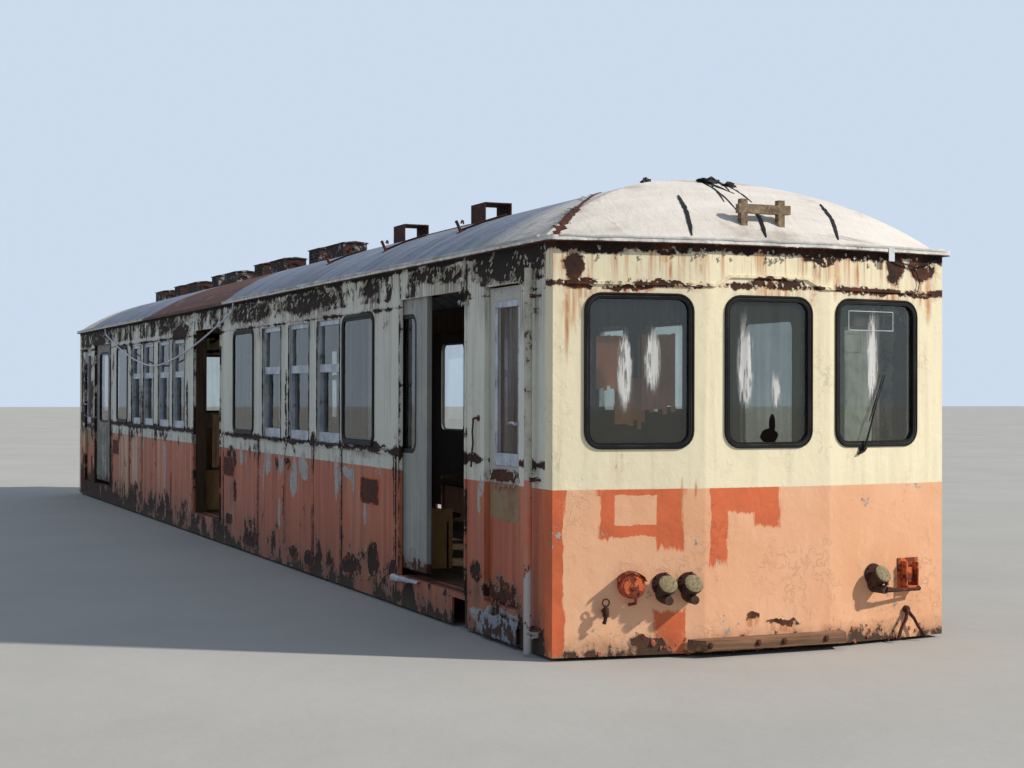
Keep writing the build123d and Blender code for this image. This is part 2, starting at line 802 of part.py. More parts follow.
# Crew doors: a narrow leaf with a framed drop light, hinged inward on its rear edge.
for side in SIDES:
    for mirror in (1, -1):
        label = "crew_door_" + side.name + "_" + place(side, mirror * crew_from)
        centre, size = box_at(
            crew_from + crew_gap, crew_to - crew_gap, floor_top + crew_gap, band_top - crew_gap
        )
        window_centre, window_size = box_at(
            crew_from + crew_light_from + crew_frame, crew_from + crew_light_to - crew_frame,
            crew_light_bottom + 2 * crew_frame, crew_light_top - crew_frame,
        )
        with BuildPart() as crew_door:
            with BuildSketch(outward(side, crew_back + crew_thick)):
                with Locations((mirror * centre[0], centre[1])):
                    Rectangle(*size)
                with Locations((mirror * window_centre[0], window_centre[1])):
                    Rectangle(*window_size, mode=Mode.SUBTRACT)
            extrude(amount=-crew_thick)
            pin_x = side.hand * mirror * (crew_from + hinge_from_jamb)
            for hinge_z in HINGE_HEIGHTS:
                with BuildSketch(Plane.XY.offset(hinge_z - hinge_half)):
                    with Locations((pin_x, -side.hand * hinge_out)):
                        Circle(hinge_barrel)
                    with Locations((pin_x, -side.hand * (hinge_out + crew_back) / 2)):
                        Rectangle(hinge_barrel, crew_back - hinge_out)
                    with Locations((pin_x, -side.hand * hinge_out)):
                        Circle(hinge_pin + hinge_running, mode=Mode.SUBTRACT)
                extrude(amount=2 * hinge_half)
        save(crew_door.part, label)
        with BuildPart() as crew_glass:
            with BuildSketch(outward(side, crew_back + crew_thick / 2 + pane / 2)):
                with Locations((mirror * window_centre[0], window_centre[1])):
                    Rectangle(window_size[0] - 2 * fit, window_size[1] - 2 * fit)
            extrude(amount=-pane)
        save(crew_glass.part, label.replace("door", "door_glass"))

# Roof fittings in a row right of the ridge: tall louvred ventilators, and low boxes with pitched lids.
# Each lid oversails its walls, and the tall ones have three louvre slots in each long side.
louvre_long = 400
louvre_half = 68
louvre_high = 138
low_box_long = 600
low_box_half = 118
low_box_high = 116
lid_pitch = 14
lid_over = 12
lid_thick = 8
slot_deep = 10
slot_high = 12
slot_end = 30
slot_pitch = 32
roof_bite = 5
row_out = 200
LOUVRES_FROM_REAR = [1625, 3892, 6044, 8279]
LOW_BOXES_FROM_REAR = [554, 2675, 4793, 6957, 9047]
Fitting = namedtuple("Fitting", "long half high slots starts")
FITTINGS = [
    Fitting(louvre_long, louvre_half, louvre_high, 3, LOUVRES_FROM_REAR),
    Fitting(low_box_long, low_box_half, low_box_high, 0, LOW_BOXES_FROM_REAR),
]


def arch_height(across):
    # How high the barrel roof is, this far from the ridge.
    return arch_centre + sqrt(arch_radius ** 2 - across ** 2)


with BuildPart() as roof_ventilators:
    for fitting in FITTINGS:
        seat = arch_height(row_out + fitting.half) - roof_bite
        wall_head = arch_top + fitting.high
        lid_half = fitting.half + lid_over
        for from_rear in fitting.starts:
            start = from_rear - half_length
            with BuildSketch(Plane.YZ.offset(start + lid_over)):
                with Locations((-row_out, (seat + wall_head) / 2)):
                    Rectangle(2 * fitting.half, wall_head - seat)
            extrude(amount=fitting.long - 2 * lid_over)
            with BuildSketch(Plane.YZ.offset(start)):
                with BuildLine():
                    Polyline(
                        (-row_out - lid_half, wall_head), (-row_out - lid_half, wall_head + lid_thick),
                        (-row_out, wall_head + lid_thick + lid_pitch),
                        (-row_out + lid_half, wall_head + lid_thick), (-row_out + lid_half, wall_head),
                        close=True,
                    )
                make_face()
            extrude(amount=fitting.long)
            for face in (-1, 1):
                wall_y = -row_out + face * fitting.half
                for slot in range(fitting.slots):
                    slot_z = wall_head - slot_pitch * (slot + 0.8)
                    with BuildSketch(Plane.YZ.offset(start + lid_over + slot_end)):
                        with Locations((wall_y, slot_z)):
                            Rectangle(2 * slot_deep, slot_high)
                    extrude(amount=fitting.long - 2 * lid_over - 2 * slot_end, mode=Mode.SUBTRACT)
    add(roof_main.part, mode=Mode.SUBTRACT)
    add(roof_domes.part, mode=Mode.SUBTRACT)
save(roof_ventilators.part, "roof_ventilators")

# Two open box frames on the ridge near the front: side plates and a top, open at both ends.
frame_long = 300
frame_half = 115
frame_high = 200
frame_plate = 8
FRAMES_FROM_FRONT = [4078, 5993]
frame_ceiling = arch_top + frame_high - frame_plate
with BuildPart() as roof_box_frames:
    for from_front in FRAMES_FROM_FRONT:
        seat = arch_height(frame_half) - roof_bite
        with BuildSketch(Plane.YZ.offset(half_length - from_front - frame_long / 2)):
            with BuildLine():
                Polyline(
                    (-frame_half, seat), (-frame_half, arch_top + frame_high),
                    (frame_half, arch_top + frame_high), (frame_half, seat),
                    (frame_half - frame_plate, seat), (frame_half - frame_plate, frame_ceiling),
                    (frame_plate - frame_half, frame_ceiling),
                    (frame_plate - frame_half, seat), close=True,
                )
            make_face()
        extrude(amount=frame_long)
    add(roof_main.part, mode=Mode.SUBTRACT)
save(roof_box_frames.part, "roof_box_frames")

# Roof timbers: a running board on cleats between the frames, and the headlamp's old bracket on the dome.
plank_half = 75
plank_thick = 22
plank_long = 1260
plank_from_front = 4368
cleat_high = 45
cleat_long = 60
cleat_pitch = 500
board_thick = 40
board_low = 164
board_deep = 52
board_left = 187
board_right = 157
board_in = 17
post_wide = 42
post_rise = 245
post_spread = 248
post_mid = 2
post_centre = eave + post_rise / 2
with BuildPart() as roof_timbers:
    plank_end = half_length - plank_from_front
    seat = arch_height(plank_half) - roof_bite
    for step in range(3):
        cleat_x = plank_end - cleat_pitch * step - 2 * cleat_long
        with BuildSketch(Plane.YZ.offset(cleat_x - cleat_long)):
            with Locations((0, (seat + arch_top + cleat_high) / 2)):
                Rectangle(2 * plank_half, arch_top + cleat_high - seat)
        extrude(amount=cleat_long)
    with BuildSketch(Plane.YZ.offset(plank_end - plank_long)):
        with Locations((0, arch_top + cleat_high + plank_thick / 2)):
            Rectangle(2 * plank_half, plank_thick)
    extrude(amount=plank_long)
    add(roof_main.part, mode=Mode.SUBTRACT)
    with BuildSketch(Plane.YZ.offset(half_length + board_in)):
        with Locations(((board_left - board_right) / 2, eave + board_low + board_deep / 2)):
            Rectangle(board_left + board_right, board_deep)
        with Locations((post_mid - post_spread / 2, post_centre), (post_mid + post_spread / 2, post_centre)):
            Rectangle(post_wide, post_rise)
    extrude(amount=board_thick)
    add(dome_solid.part, mode=Mode.SUBTRACT)
save(roof_timbers.part, "roof_timbers")

# Jumper sockets on the end walls: one plain drum, and three on tilted necks, capped, with a plug stub below.
drum_radius = 70
drum_reach = 75
neck_radius = 46
neck_reach = 72
neck_length = 135
cap_radius = 55
cap_thick = 20
stub_radius = 25
stub_reach = 108
stub_below = 80
cap_tilt = radians(33)
socket_z = 410
drum_in = 446
TILTED_IN = [(right_facet, 643), (right_facet, 795), (left_facet, -562)]
with BuildPart() as jumper_sockets:
    with BuildSketch(right_facet):
        with Locations((drum_in, socket_z)):
            Circle(drum_radius)
    extrude(amount=drum_reach)
    for facet, along in TILTED_IN:
        cap_plane = Plane(
            origin=facet.from_local_coords((along, socket_z, neck_reach)),
            x_dir=facet.x_dir,
            z_dir=facet.z_dir * cos(cap_tilt) + Vector(0, 0, 1) * sin(cap_tilt),
        )
        with BuildSketch(cap_plane):
            Circle(neck_radius)
        extrude(amount=-neck_length)
        with BuildSketch(cap_plane):
            Circle(cap_radius)
        extrude(amount=cap_thick)
        with BuildSketch(facet):
            with Locations((along, socket_z - stub_below)):
                Circle(stub_radius)
        extrude(amount=stub_reach)
    add(front_end.part, mode=Mode.SUBTRACT)
    add(jumper_sockets.part, rotation=(0, 0, 180))
save(jumper_sockets.part, "jumper_sockets")

# Buffer timber across the foot of each end: a broken baulk with split, slanting ends.
timber_deep = 90
timber_high = 60
timber_left = 500
timber_right = 524
timber_over = 20
timber_split = 70
end_face = half_length + bow
with BuildPart() as buffer_timbers:
    with BuildSketch(Plane.XY.offset(skirt_bottom + timber_over)):
        with BuildLine():
            Polyline(
                (end_face, -timber_right), (end_face + timber_deep / 2, timber_split / 3 - timber_right),
                (end_face + timber_deep, timber_split - timber_right),
                (end_face + timber_deep, timber_left - timber_split / 2),
                (end_face + timber_deep / 2, timber_left - timber_split / 4), (end_face, timber_left),
                close=True,
            )
        make_face()
    extrude(amount=timber_high)
    add(buffer_timbers.part, rotation=(0, 0, 180))
save(buffer_timbers.part, "buffer_timbers")

# Downpipes on stand-off clips at the side's front corner.
pipe_radius = 23
pipe_clear = 50
pipe_from_end = 222
pipe_under_gutter = 137
clip_wide = 70
clip_deep = 34
CLIP_HEIGHTS = [124, 1023, 1942]
pipe_x = half_length - pipe_from_end
pipe_out = half_width + pipe_clear
with BuildPart() as downpipes:
    for side in SIDES:
        with BuildSketch(Plane.XY.offset(skirt_bottom)):
            with Locations((side.hand * pipe_x, -side.hand * pipe_out)):
                Circle(pipe_radius)
        extrude(amount=gutter_bottom - pipe_under_gutter - skirt_bottom)
        for clip_z in CLIP_HEIGHTS:
            with BuildSketch(outward(side, half_width)):
                with Locations((pipe_x, clip_z)):
                    Rectangle(clip_wide, clip_deep)
            extrude(amount=pipe_clear)
save(downpipes.part, "downpipes")

# Bench seats along both sides between the doors: plinth, cushion and back in one profile.
seat_deep = 435
plinth_deep = 345
bench_from_door = 300
seat_low = 560
seat_high = 640
back_high = 1060
back_thick = 60
seat_edge = inner_half - seat_deep
plinth_edge = inner_half - plinth_deep
with BuildPart() as bench_seats:
    for side in SIDES:
        for panel in BAYS:
            turn = side.hand
            start = panel.low + bench_from_door if turn == 1 else bench_from_door - panel.high
            with BuildSketch(Plane.YZ.offset(start)):
                with BuildLine():
                    Polyline(
                        (-turn * inner_half, floor_top), (-turn * plinth_edge, floor_top),
                        (-turn * plinth_edge, seat_low), (-turn * seat_edge, seat_low),
                        (-turn * seat_edge, seat_high), (-turn * (inner_half - back_thick), seat_high),
                        (-turn * (inner_half - back_thick), back_high),
                        (-turn * inner_half, back_high), close=True,
                    )
                make_face()
            extrude(amount=length(panel) - 2 * bench_from_door)
save(bench_seats.part, "bench_seats")

# Cab partitions: waist-high panels behind each cab with a rail over them.
partition_back = 63
partition_thick = 30
partition_high = 1150
gangway_half = 350
partition_x = max(DOORS[0].high, -DOORS[2].low) + partition_back
with BuildPart() as cab_partitions:
    for turn in (-1, 1):
        for hand in (-1, 1):
            with BuildSketch(Plane.XY.offset(floor_top)):
                with Locations((turn * partition_x, hand * (inner_half + gangway_half) / 2)):
                    Rectangle(partition_thick, inner_half - gangway_half)
            extrude(amount=partition_high - floor_top)
save(cab_partitions.part, "cab_partitions")

# The slack strip that hangs from the gutter's underside on the right side, as a round cord.
strip_radius = 9
strip_clear = 35
strip_low_x = -2636
strip_low_z = 1772
strip_front_x = 1113
strip_rear_x = -5974
strip_tail = 70
strip_run = 262
strip_curve = 1.6
strip_out = half_width + strip_clear


def strip_height(x):
    # The sag at one place along the car: lowest off the middle, steeper toward each hung end.
    end_x = strip_front_x if x > strip_low_x else strip_rear_x
    share = abs(x - strip_low_x) / abs(end_x - strip_low_x)
    return strip_low_z + (gutter_bottom - strip_tail - strip_low_z) * share ** strip_curve


run_count = round((strip_front_x - strip_rear_x) / strip_run)
strip_points = [(strip_front_x, gutter_bottom), (strip_front_x, gutter_bottom - strip_tail)]
for step in range(run_count + 1):
    if step in (0, run_count):
        continue
    x = strip_front_x + (strip_rear_x - strip_front_x) * step / run_count
    if step == 1:
        strip_points.append((x + strip_run / 2, strip_height(x + strip_run / 2)))
    strip_points.append((x, strip_height(x)))
    if step == run_count - 1:
        strip_points.append((x - strip_run / 2, strip_height(x - strip_run / 2)))
strip_points += [(strip_rear_x, gutter_bottom - strip_tail), (strip_rear_x, gutter_bottom)]

strip_radii = []
for before, here, after in zip(strip_points, strip_points[1:], strip_points[2:]):
    run_in = (here[0] - before[0], here[1] - before[1])
    run_out = (after[0] - here[0], after[1] - here[1])
    across = run_in[0] * run_out[1] - run_in[1] * run_out[0]
    ahead = run_in[0] * run_out[0] + run_in[1] * run_out[1]
    turned = abs(atan2(across, ahead))
    strip_radii.append(0.45 * min(hypot(*run_in), hypot(*run_out)) / tan(turned / 2))
print("strip arc radii", [round(radius) for radius in strip_radii])

with BuildPart() as hanging_strip:
    with BuildLine(Plane(origin=(0, -strip_out, 0), x_dir=(1, 0, 0), z_dir=(0, -1, 0))) as strip_path:
        FilletPolyline(*strip_points, radius=strip_radii)
    with BuildSketch(Plane.XY.offset(gutter_bottom)):
        with Locations((strip_front_x, -strip_out)):
            Circle(strip_radius)
    sweep(path=strip_path.line)
save(hanging_strip.part, "hanging_strip")
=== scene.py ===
import bmesh, bpy, math, random
from mathutils import Matrix, Vector, noise
from mathutils.bvhtree import BVHTree


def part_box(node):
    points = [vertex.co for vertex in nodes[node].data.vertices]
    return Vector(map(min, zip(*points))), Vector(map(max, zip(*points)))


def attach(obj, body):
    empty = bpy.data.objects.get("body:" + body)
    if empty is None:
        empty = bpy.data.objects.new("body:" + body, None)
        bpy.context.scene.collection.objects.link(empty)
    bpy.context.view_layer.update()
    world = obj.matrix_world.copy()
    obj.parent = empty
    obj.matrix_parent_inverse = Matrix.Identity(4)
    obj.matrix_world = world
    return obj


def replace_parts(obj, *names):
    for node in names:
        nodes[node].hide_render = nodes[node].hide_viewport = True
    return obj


random.seed(7)
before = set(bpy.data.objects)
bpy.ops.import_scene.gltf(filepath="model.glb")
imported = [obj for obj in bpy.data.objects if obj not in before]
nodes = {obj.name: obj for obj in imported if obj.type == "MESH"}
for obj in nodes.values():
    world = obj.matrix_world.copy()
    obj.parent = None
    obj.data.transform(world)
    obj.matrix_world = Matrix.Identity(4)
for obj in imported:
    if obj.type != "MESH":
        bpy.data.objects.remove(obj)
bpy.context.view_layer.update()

# Sizes of the body, in metres, from the frame where it gives them.
END_DEEP, BOW, FACET_HALF = 0.100, 0.126, 0.414
SPLIT = 0.943          # where the cream paint meets the orange
LEAF_THICK = 0.036
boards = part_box("letterboards")[1]
HALF, WIDE, EAVE = boards[0] + END_DEEP, boards[1], boards[2]
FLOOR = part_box("floor_deck")[1][2]
GUTTER_LOW, GUTTER_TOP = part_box("gutter")[0][2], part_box("gutter")[1][2]
GUTTER_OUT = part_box("gutter")[1][1]
LEAF_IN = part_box("sliding_door_left_middle")[1][1] - LEAF_THICK
GLASS_FROM = 8.2       # end panes lie further along than this
UP = Vector((0, 0, 1))
HALF_TURN = Matrix.Rotation(math.pi, 3, "Z")


def islands(name):
    # The corner points of each separate solid in a node.
    mesh = nodes[name].data
    spots = {}
    mark = [spots.setdefault(tuple(round(c, 4) for c in v.co), len(spots)) for v in mesh.vertices]
    up = list(range(len(spots)))

    def root(i):
        while up[i] != i:
            up[i] = up[up[i]]
            i = up[i]
        return i

    for face in mesh.polygons:
        first = root(mark[face.vertices[0]])
        for v in face.vertices[1:]:
            up[root(mark[v])] = first
    groups = {}
    for v, m in zip(mesh.vertices, mark):
        groups.setdefault(root(m), []).append(v.co.copy())
    return list(groups.values())


def corners(points):
    # The lowest and the highest corner of the box round some points.
    return [Vector([pick(p[i] for p in points) for i in range(3)]) for pick in (min, max)]


def between(a, b, share):
    return a + (b - a) * share


def turns(count, shift=0.0):
    # Angles evenly round a circle.
    return [2 * math.pi * (i + shift) / count for i in range(count)]


def wobble(x, y=0.0, z=0.0):
    return noise.noise(Vector((x, y, z)))


class Wall:
    # A flat face of the body: a starting point, the way along it and the way out of it.
    def __init__(self, start, along, out):
        self.start, self.along, self.out = Vector(start), Vector(along).normalized(), Vector(out).normalized()

    def at(self, along, height, out=0.0):
        spot = self.start + self.along * along + self.out * out
        return Vector((spot.x, spot.y, height))

    def path(self, rows, along=0.0, height=0.0):
        # Points from rows of along, height and out, counted from a place on the wall.
        return [self.at(along + a, height + z, out) for a, z, out in rows]

    def span(self, points):
        # Lowest and highest along, then lowest and highest height.
        along = [(p - self.start).dot(self.along) for p in points]
        return min(along), max(along), min(p.z for p in points), max(p.z for p in points)

    def turned(self):
        return Wall(HALF_TURN @ self.start, HALF_TURN @ self.along, HALF_TURN @ self.out)


FACET = Vector((BOW, WIDE - FACET_HALF, 0))
RIGHT = Wall((0, -WIDE, 0), (1, 0, 0), (0, -1, 0))
END_RIGHT = Wall((HALF, -WIDE, 0), FACET, (FACET.y, -FACET.x, 0))
END_MIDDLE = Wall((HALF + BOW, 0, 0), (0, 1, 0), (1, 0, 0))
END_LEFT = Wall((HALF, WIDE, 0), (FACET.x, -FACET.y, 0), (FACET.y, FACET.x, 0))
SIDES = [RIGHT, RIGHT.turned()]
WALLS = [RIGHT, END_RIGHT, END_MIDDLE, END_LEFT]
WALLS += [wall.turned() for wall in WALLS]
LEAST_SPREAD = 0.3


def wall_of(points):
    # The wall that these points spread along and lie nearest to.
    centre = sum(points, Vector()) / len(points)

    def off(wall):
        low, high, _, _ = wall.span(points)
        return high - low < LEAST_SPREAD, abs((centre - wall.start).dot(wall.out))
    return min(WALLS, key=off)


# Doorways and seams of the right side, read from the frame on the whole left side and turned.
COVER_PROUD = 0.003
DOORWAYS = [corners(g) for g in islands("door_steps") if g[0].y > 0]
DOORWAYS = sorted((-high.x, -low.x) for low, high in DOORWAYS)
edges = nodes["side_walls"].data.vertices
edges = sorted({round(v.co.x, 3) for v in edges if abs(v.co.y + WIDE + COVER_PROUD) < 0.0005})
SEAMS = [(a + b) / 2 for a, b in zip(edges[::2], edges[1::2])]


def linear(r, g, b):
    def one(v):
        return v / 12.92 if v <= 0.04045 else ((v + 0.055) / 1.055) ** 2.4
    return (one(r), one(g), one(b), 1.0)


def darker(colour, share):
    return tuple(v * share for v in linear(*colour)[:3]) + (1.0,)


# Nodes of a material or the world, with short names for what they do. A colour of three numbers is
# as the eye reads it on a chart, and one of four is linear.
class Nodes:
    def __init__(self, owner):
        owner.use_nodes = True
        self.tree = owner.node_tree

    def put(self, socket, value):
        if isinstance(value, bpy.types.NodeSocket):
            self.tree.links.new(value, socket)
        elif socket.type == "RGBA" and len(value) == 3:
            socket.default_value = linear(*value)
        else:
            socket.default_value = value

    def fill(self, node, **values):
        for name, value in values.items():
            self.put(node.inputs[name.replace("_", " ")], value)
        return node

    def new(self, kind, *values, **settings):
        # A new node with its settings, and values for its first inputs.
        node = self.tree.nodes.new("ShaderNode" + kind)
        for name, value in settings.items():
            setattr(node, name, value)
        for socket, value in zip(node.inputs, values):
            if value is not None:
                self.put(socket, value)
        return node

    def math(self, op, *values):
        return self.new("Math", *values, operation=op).outputs[0]

    def chain(self, op, terms):
        total = terms[0]
        for term in terms[1:]:
            total = self.math(op, total, term)
        return total

    def most(self, *terms):
        return self.chain("MAXIMUM", terms)

    def blend(self, fac, first, second):
        # A mix of the shaders that two nodes give.
        return self.new("MixShader", fac, first.outputs[0], second.outputs[0])


class Shade(Nodes):
    def __init__(self, name):
        self.mat = bpy.data.materials.new(name)
        super().__init__(self.mat)
        self.bsdf = self.tree.nodes["Principled BSDF"]
        self.spot = self.new("TexCoord").outputs["Object"]
        self.x, self.y, self.z = self.split(self.spot)

    def split(self, vector):
        return self.new("SeparateXYZ", vector).outputs

    def join(self, x, z):
        return self.new("CombineXYZ", x, None, z).outputs[0]

    def add(self, *terms):
        return self.chain("ADD", terms)

    def mul(self, *terms):
        return self.chain("MULTIPLY", terms)

    def flip(self, v):
        return self.math("SUBTRACT", 1.0, v)

    def size(self, v):
        return self.math("ABSOLUTE", v)

    def swing(self, v, reach):
        # A noise turned into a push both ways, this far in all.
        return self.math("MULTIPLY_ADD", v, reach, -reach / 2)

    def vector(self, op, *values):
        node = self.new("VectorMath", *values, operation=op)
        return node.outputs["Value" if op == "LENGTH" else "Vector"]

    def noise(self, scale, detail=5, rough=0.6, stretch=(1, 1, 1), shift=0.0, warp=0.0, out="Fac"):
        spot = self.vector("MULTIPLY_ADD", self.spot, stretch, (shift, shift * 1.7, shift * 0.6))
        node = self.fill(self.new("TexNoise", spot), Scale=scale, Detail=detail, Roughness=rough, Distortion=warp)
        return node.outputs[out]

    def step(self, v, low, high, to_low=0.0, to_high=1.0):
        return self.new("MapRange", v, low, high, to_low, to_high).outputs[0]

    def band(self, v, low, high, soft):
        # One between low and high, with soft edges; None leaves a side open.
        edges = [(edge, way) for edge, way in ((low, soft), (high, -soft)) if edge is not None]
        return self.mul(*[self.step(v, edge - way, edge + way) for edge, way in edges])

    def mix(self, fac, a, b):
        node = self.new("Mix", fac, data_type="RGBA")
        self.put(node.inputs[6], a)
        self.put(node.inputs[7], b)
        return node.outputs[2]

    def fade(self, v, low, high, a, b, share=1.0):
        # From a toward b as v goes from low to high, and no further than this share.
        return self.mix(self.step(v, low, high, 0.0, share), a, b)

    def bent(self, spot, *layers):
        # The spot pushed about by noise: each layer has a scale and a distance in metres.
        for scale, reach in layers:
            push = self.vector("SUBTRACT", self.noise(scale, 3, shift=scale, out="Color"), (0.5, 0.5, 0.5))
            spot = self.vector("MULTIPLY_ADD", push, (2 * reach, 2 * reach, 2 * reach), spot)
        return spot

    def nearest(self, rows, spot, square=False, drip=1.0):
        # Distance to the closest patch, one at its edge. Each row is a patch's middle and half sizes,
        # along and up; drip lets each patch reach further down than it is high.
        best = None
        for along, up, half_long, half_high in rows:
            low = half_high * drip
            scale = (1 / half_long, 0, 1 / low)
            move = (-along / half_long, 0, -(up + half_high - low) / low)
            v = self.vector("MULTIPLY_ADD", spot, scale, move)
            d = self.most(*self.split(self.vector("ABSOLUTE", v))) if square else self.vector("LENGTH", v)
            best = d if best is None else self.math("MINIMUM", best, d)
        return best

    def bump(self, *layers):
        # Each layer is a height from 0 to 1 and its depth in metres.
        height = self.add(*[self.mul(height, depth) for height, depth in layers])
        node = self.fill(self.new("Bump"), Strength=1.0, Distance=1.0, Height=height)
        self.put(self.bsdf.inputs["Normal"], node.outputs[0])

    def finish(self, colour, rough=0.7, metal=0.0, spec=0.35):
        self.fill(self.bsdf, Base_Color=colour, Roughness=rough, Metallic=metal, Specular_IOR_Level=spec)
        return self.mat


# The sides' cream is the end cream greyed and blued: painted shade for the sides, which stand out of the sun.
CREAM, CREAM_SIDE_SHADED, CREAM_DIRT = (0.94, 0.895, 0.765), (0.87, 0.865, 0.81), (0.62, 0.58, 0.48)
ORANGE, ORANGE_DARK, ORANGE_OLD = (0.80, 0.45, 0.30), (0.67, 0.34, 0.25), (0.84, 0.42, 0.25)
SALMON, SALMON_DARK = (0.92, 0.71, 0.56), (0.87, 0.64, 0.48)
PRIMER = (0.72, 0.71, 0.69)
RUST_DARK, RUST, RUST_BRIGHT = (0.20, 0.125, 0.105), (0.37, 0.215, 0.155), (0.62, 0.34, 0.16)
OCHRE, SOOT = (0.74, 0.49, 0.27), (0.085, 0.072, 0.068)

# Places where the paint has come off, down to rusty metal: middle along and up, half long, half high.
SIDE_PEELS = [
    (7.50, 2.25, 0.36, 0.10), (7.98, 2.23, 0.24, 0.12), (6.30, 2.26, 0.34, 0.045), (6.74, 2.22, 0.20, 0.05),
    (5.16, 2.23, 0.20, 0.07), (3.54, 2.21, 0.80, 0.085), (2.01, 2.20, 0.34, 0.07), (3.67, 1.10, 0.09, 0.06),
    (2.86, 1.35, 0.022, 0.30), (5.03, 1.085, 0.42, 0.022), (3.09, 0.16, 0.13, 0.05), (3.56, 0.13, 0.15, 0.06),
    (4.14, 0.18, 0.10, 0.04), (4.66, 0.19, 0.20, 0.07), (5.20, 0.27, 0.12, 0.13), (5.62, 0.26, 0.09, 0.06),
    (7.20, 0.41, 0.09, 0.05), (-8.08, 1.57, 0.08, 0.60), (-2.07, 2.26, 0.50, 0.12), (-1.43, 2.10, 0.40, 0.12),
    (1.43, 2.20, 0.50, 0.10), (0.90, 0.83, 0.20, 0.11), (1.07, 0.56, 0.06, 0.09), (0.83, 0.27, 0.12, 0.06),
    (1.64, 0.14, 0.26, 0.07), (-7.67, 0.23, 0.30, 0.10), (-1.06, 1.35, 0.05, 0.24), (-3.56, 1.30, 0.04, 0.24),
    (2.79, 0.57, 0.020, 0.14), (2.56, 0.88, 0.060, 0.040), (2.92, 0.88, 0.070, 0.036),
    (7.62, 0.985, 0.22, 0.055), (7.55, 0.30, 0.24, 0.055), (6.98, 2.08, 0.10, 0.04),
]
END_PEELS = [
    (-1.19, 2.20, 0.06, 0.09), (0.38, 2.28, 0.12, 0.035), (0.90, 2.22, 0.05, 0.09), (0.06, 2.10, 0.18, 0.030),
    (-0.80, 2.083, 0.36, 0.010), (0.98, 2.085, 0.30, 0.012), (-0.65, 2.25, 0.05, 0.018), (-0.76, 0.10, 0.09, 0.045),
    (-0.10, 0.20, 0.05, 0.020), (0.10, 0.16, 0.11, 0.015), (1.12, 2.24, 0.12, 0.06), (-1.15, 2.10, 0.10, 0.025),
]
# Long rusty runs down the ends from the cornice and the bead.
END_RUNS = [
    (-1.22, 1.93, 0.016, 0.26), (-1.10, 2.02, 0.010, 0.16), (-0.62, 2.17, 0.012, 0.09), (-0.44, 2.19, 0.016, 0.08),
    (-0.30, 2.20, 0.010, 0.07), (0.30, 2.04, 0.030, 0.07), (0.46, 2.14, 0.030, 0.12), (0.62, 2.18, 0.014, 0.09),
    (0.90, 2.04, 0.022, 0.10), (1.18, 2.02, 0.030, 0.14), (-0.55, 0.92, 0.010, 0.09), (-0.47, 0.93, 0.008, 0.07),
]
# Stretches of the photographed end still in the older, deeper orange.
OLD_ORANGE = [
    (-0.79, 0.93, 0.25, 0.020), (-0.99, 0.81, 0.040, 0.14), (-0.86, 0.706, 0.18, 0.032), (-0.62, 0.78, 0.075, 0.17),
    (-0.145, 0.88, 0.22, 0.085), (-0.325, 0.74, 0.055, 0.22), (-0.01, 0.84, 0.085, 0.12), (-1.285, 0.50, 0.050, 0.50),
    (-0.62, 0.12, 0.09, 0.14),
]
# Pale primer where only the top coat has gone from the side.
PRIMER_PATCHES = [
    (2.30, 0.86, 0.07, 0.12), (3.10, 0.76, 0.10, 0.16), (3.45, 0.84, 0.08, 0.07), (4.30, 0.80, 0.05, 0.16),
    (5.02, 0.62, 0.03, 0.10), (1.30, 0.90, 0.06, 0.10), (2.62, 0.42, 0.04, 0.14), (7.60, 0.115, 0.52, 0.080),
    (-2.2, 0.70, 0.05, 0.40), (-3.9, 0.62, 0.06, 0.42), (-4.9, 0.70, 0.05, 0.36), (4.62, 0.88, 0.12, 0.05),
]
# Heights that rust first: from, to, how soft that edge is, and how much further they have rusted.
END_ZONES = [
    (2.2675, None, 0.0325, 0.27),       # cornice
    (2.064, 2.108, 0.014, 0.165),       # bead
    (None, 0.075, 0.075, 0.17),         # foot
]
SIDE_ZONES = [
    (2.110, None, 0.015, 0.105),        # letterboards
    (2.2835, None, 0.0215, 0.21),       # under the gutter
    (1.045, 1.100, 0.022, 0.19),        # sill bead
    (2.045, 2.075, 0.015, 0.14),        # header bead
    (0.88, 1.05, 0.06, 0.05),           # under the windows
    (None, 0.26, 0.24, 0.175),          # foot
]


def rust_colour(s, bright=0.35):
    tone = s.fade(s.noise(22, 6, 0.7, shift=3), 0.35, 0.65, RUST_DARK, RUST)
    return s.fade(s.noise(7, 6, 0.65, shift=9), 0.52, 0.68, tone, RUST_BRIGHT, bright)


def folded(s, on_end):
    # Both sides, and both ends, use one table of patches: the far one is turned half round.
    along, out = (s.y, s.x) if on_end else (s.x, s.mul(s.y, -1.0))
    return s.join(s.mul(along, s.math("SIGN", out)), s.z)


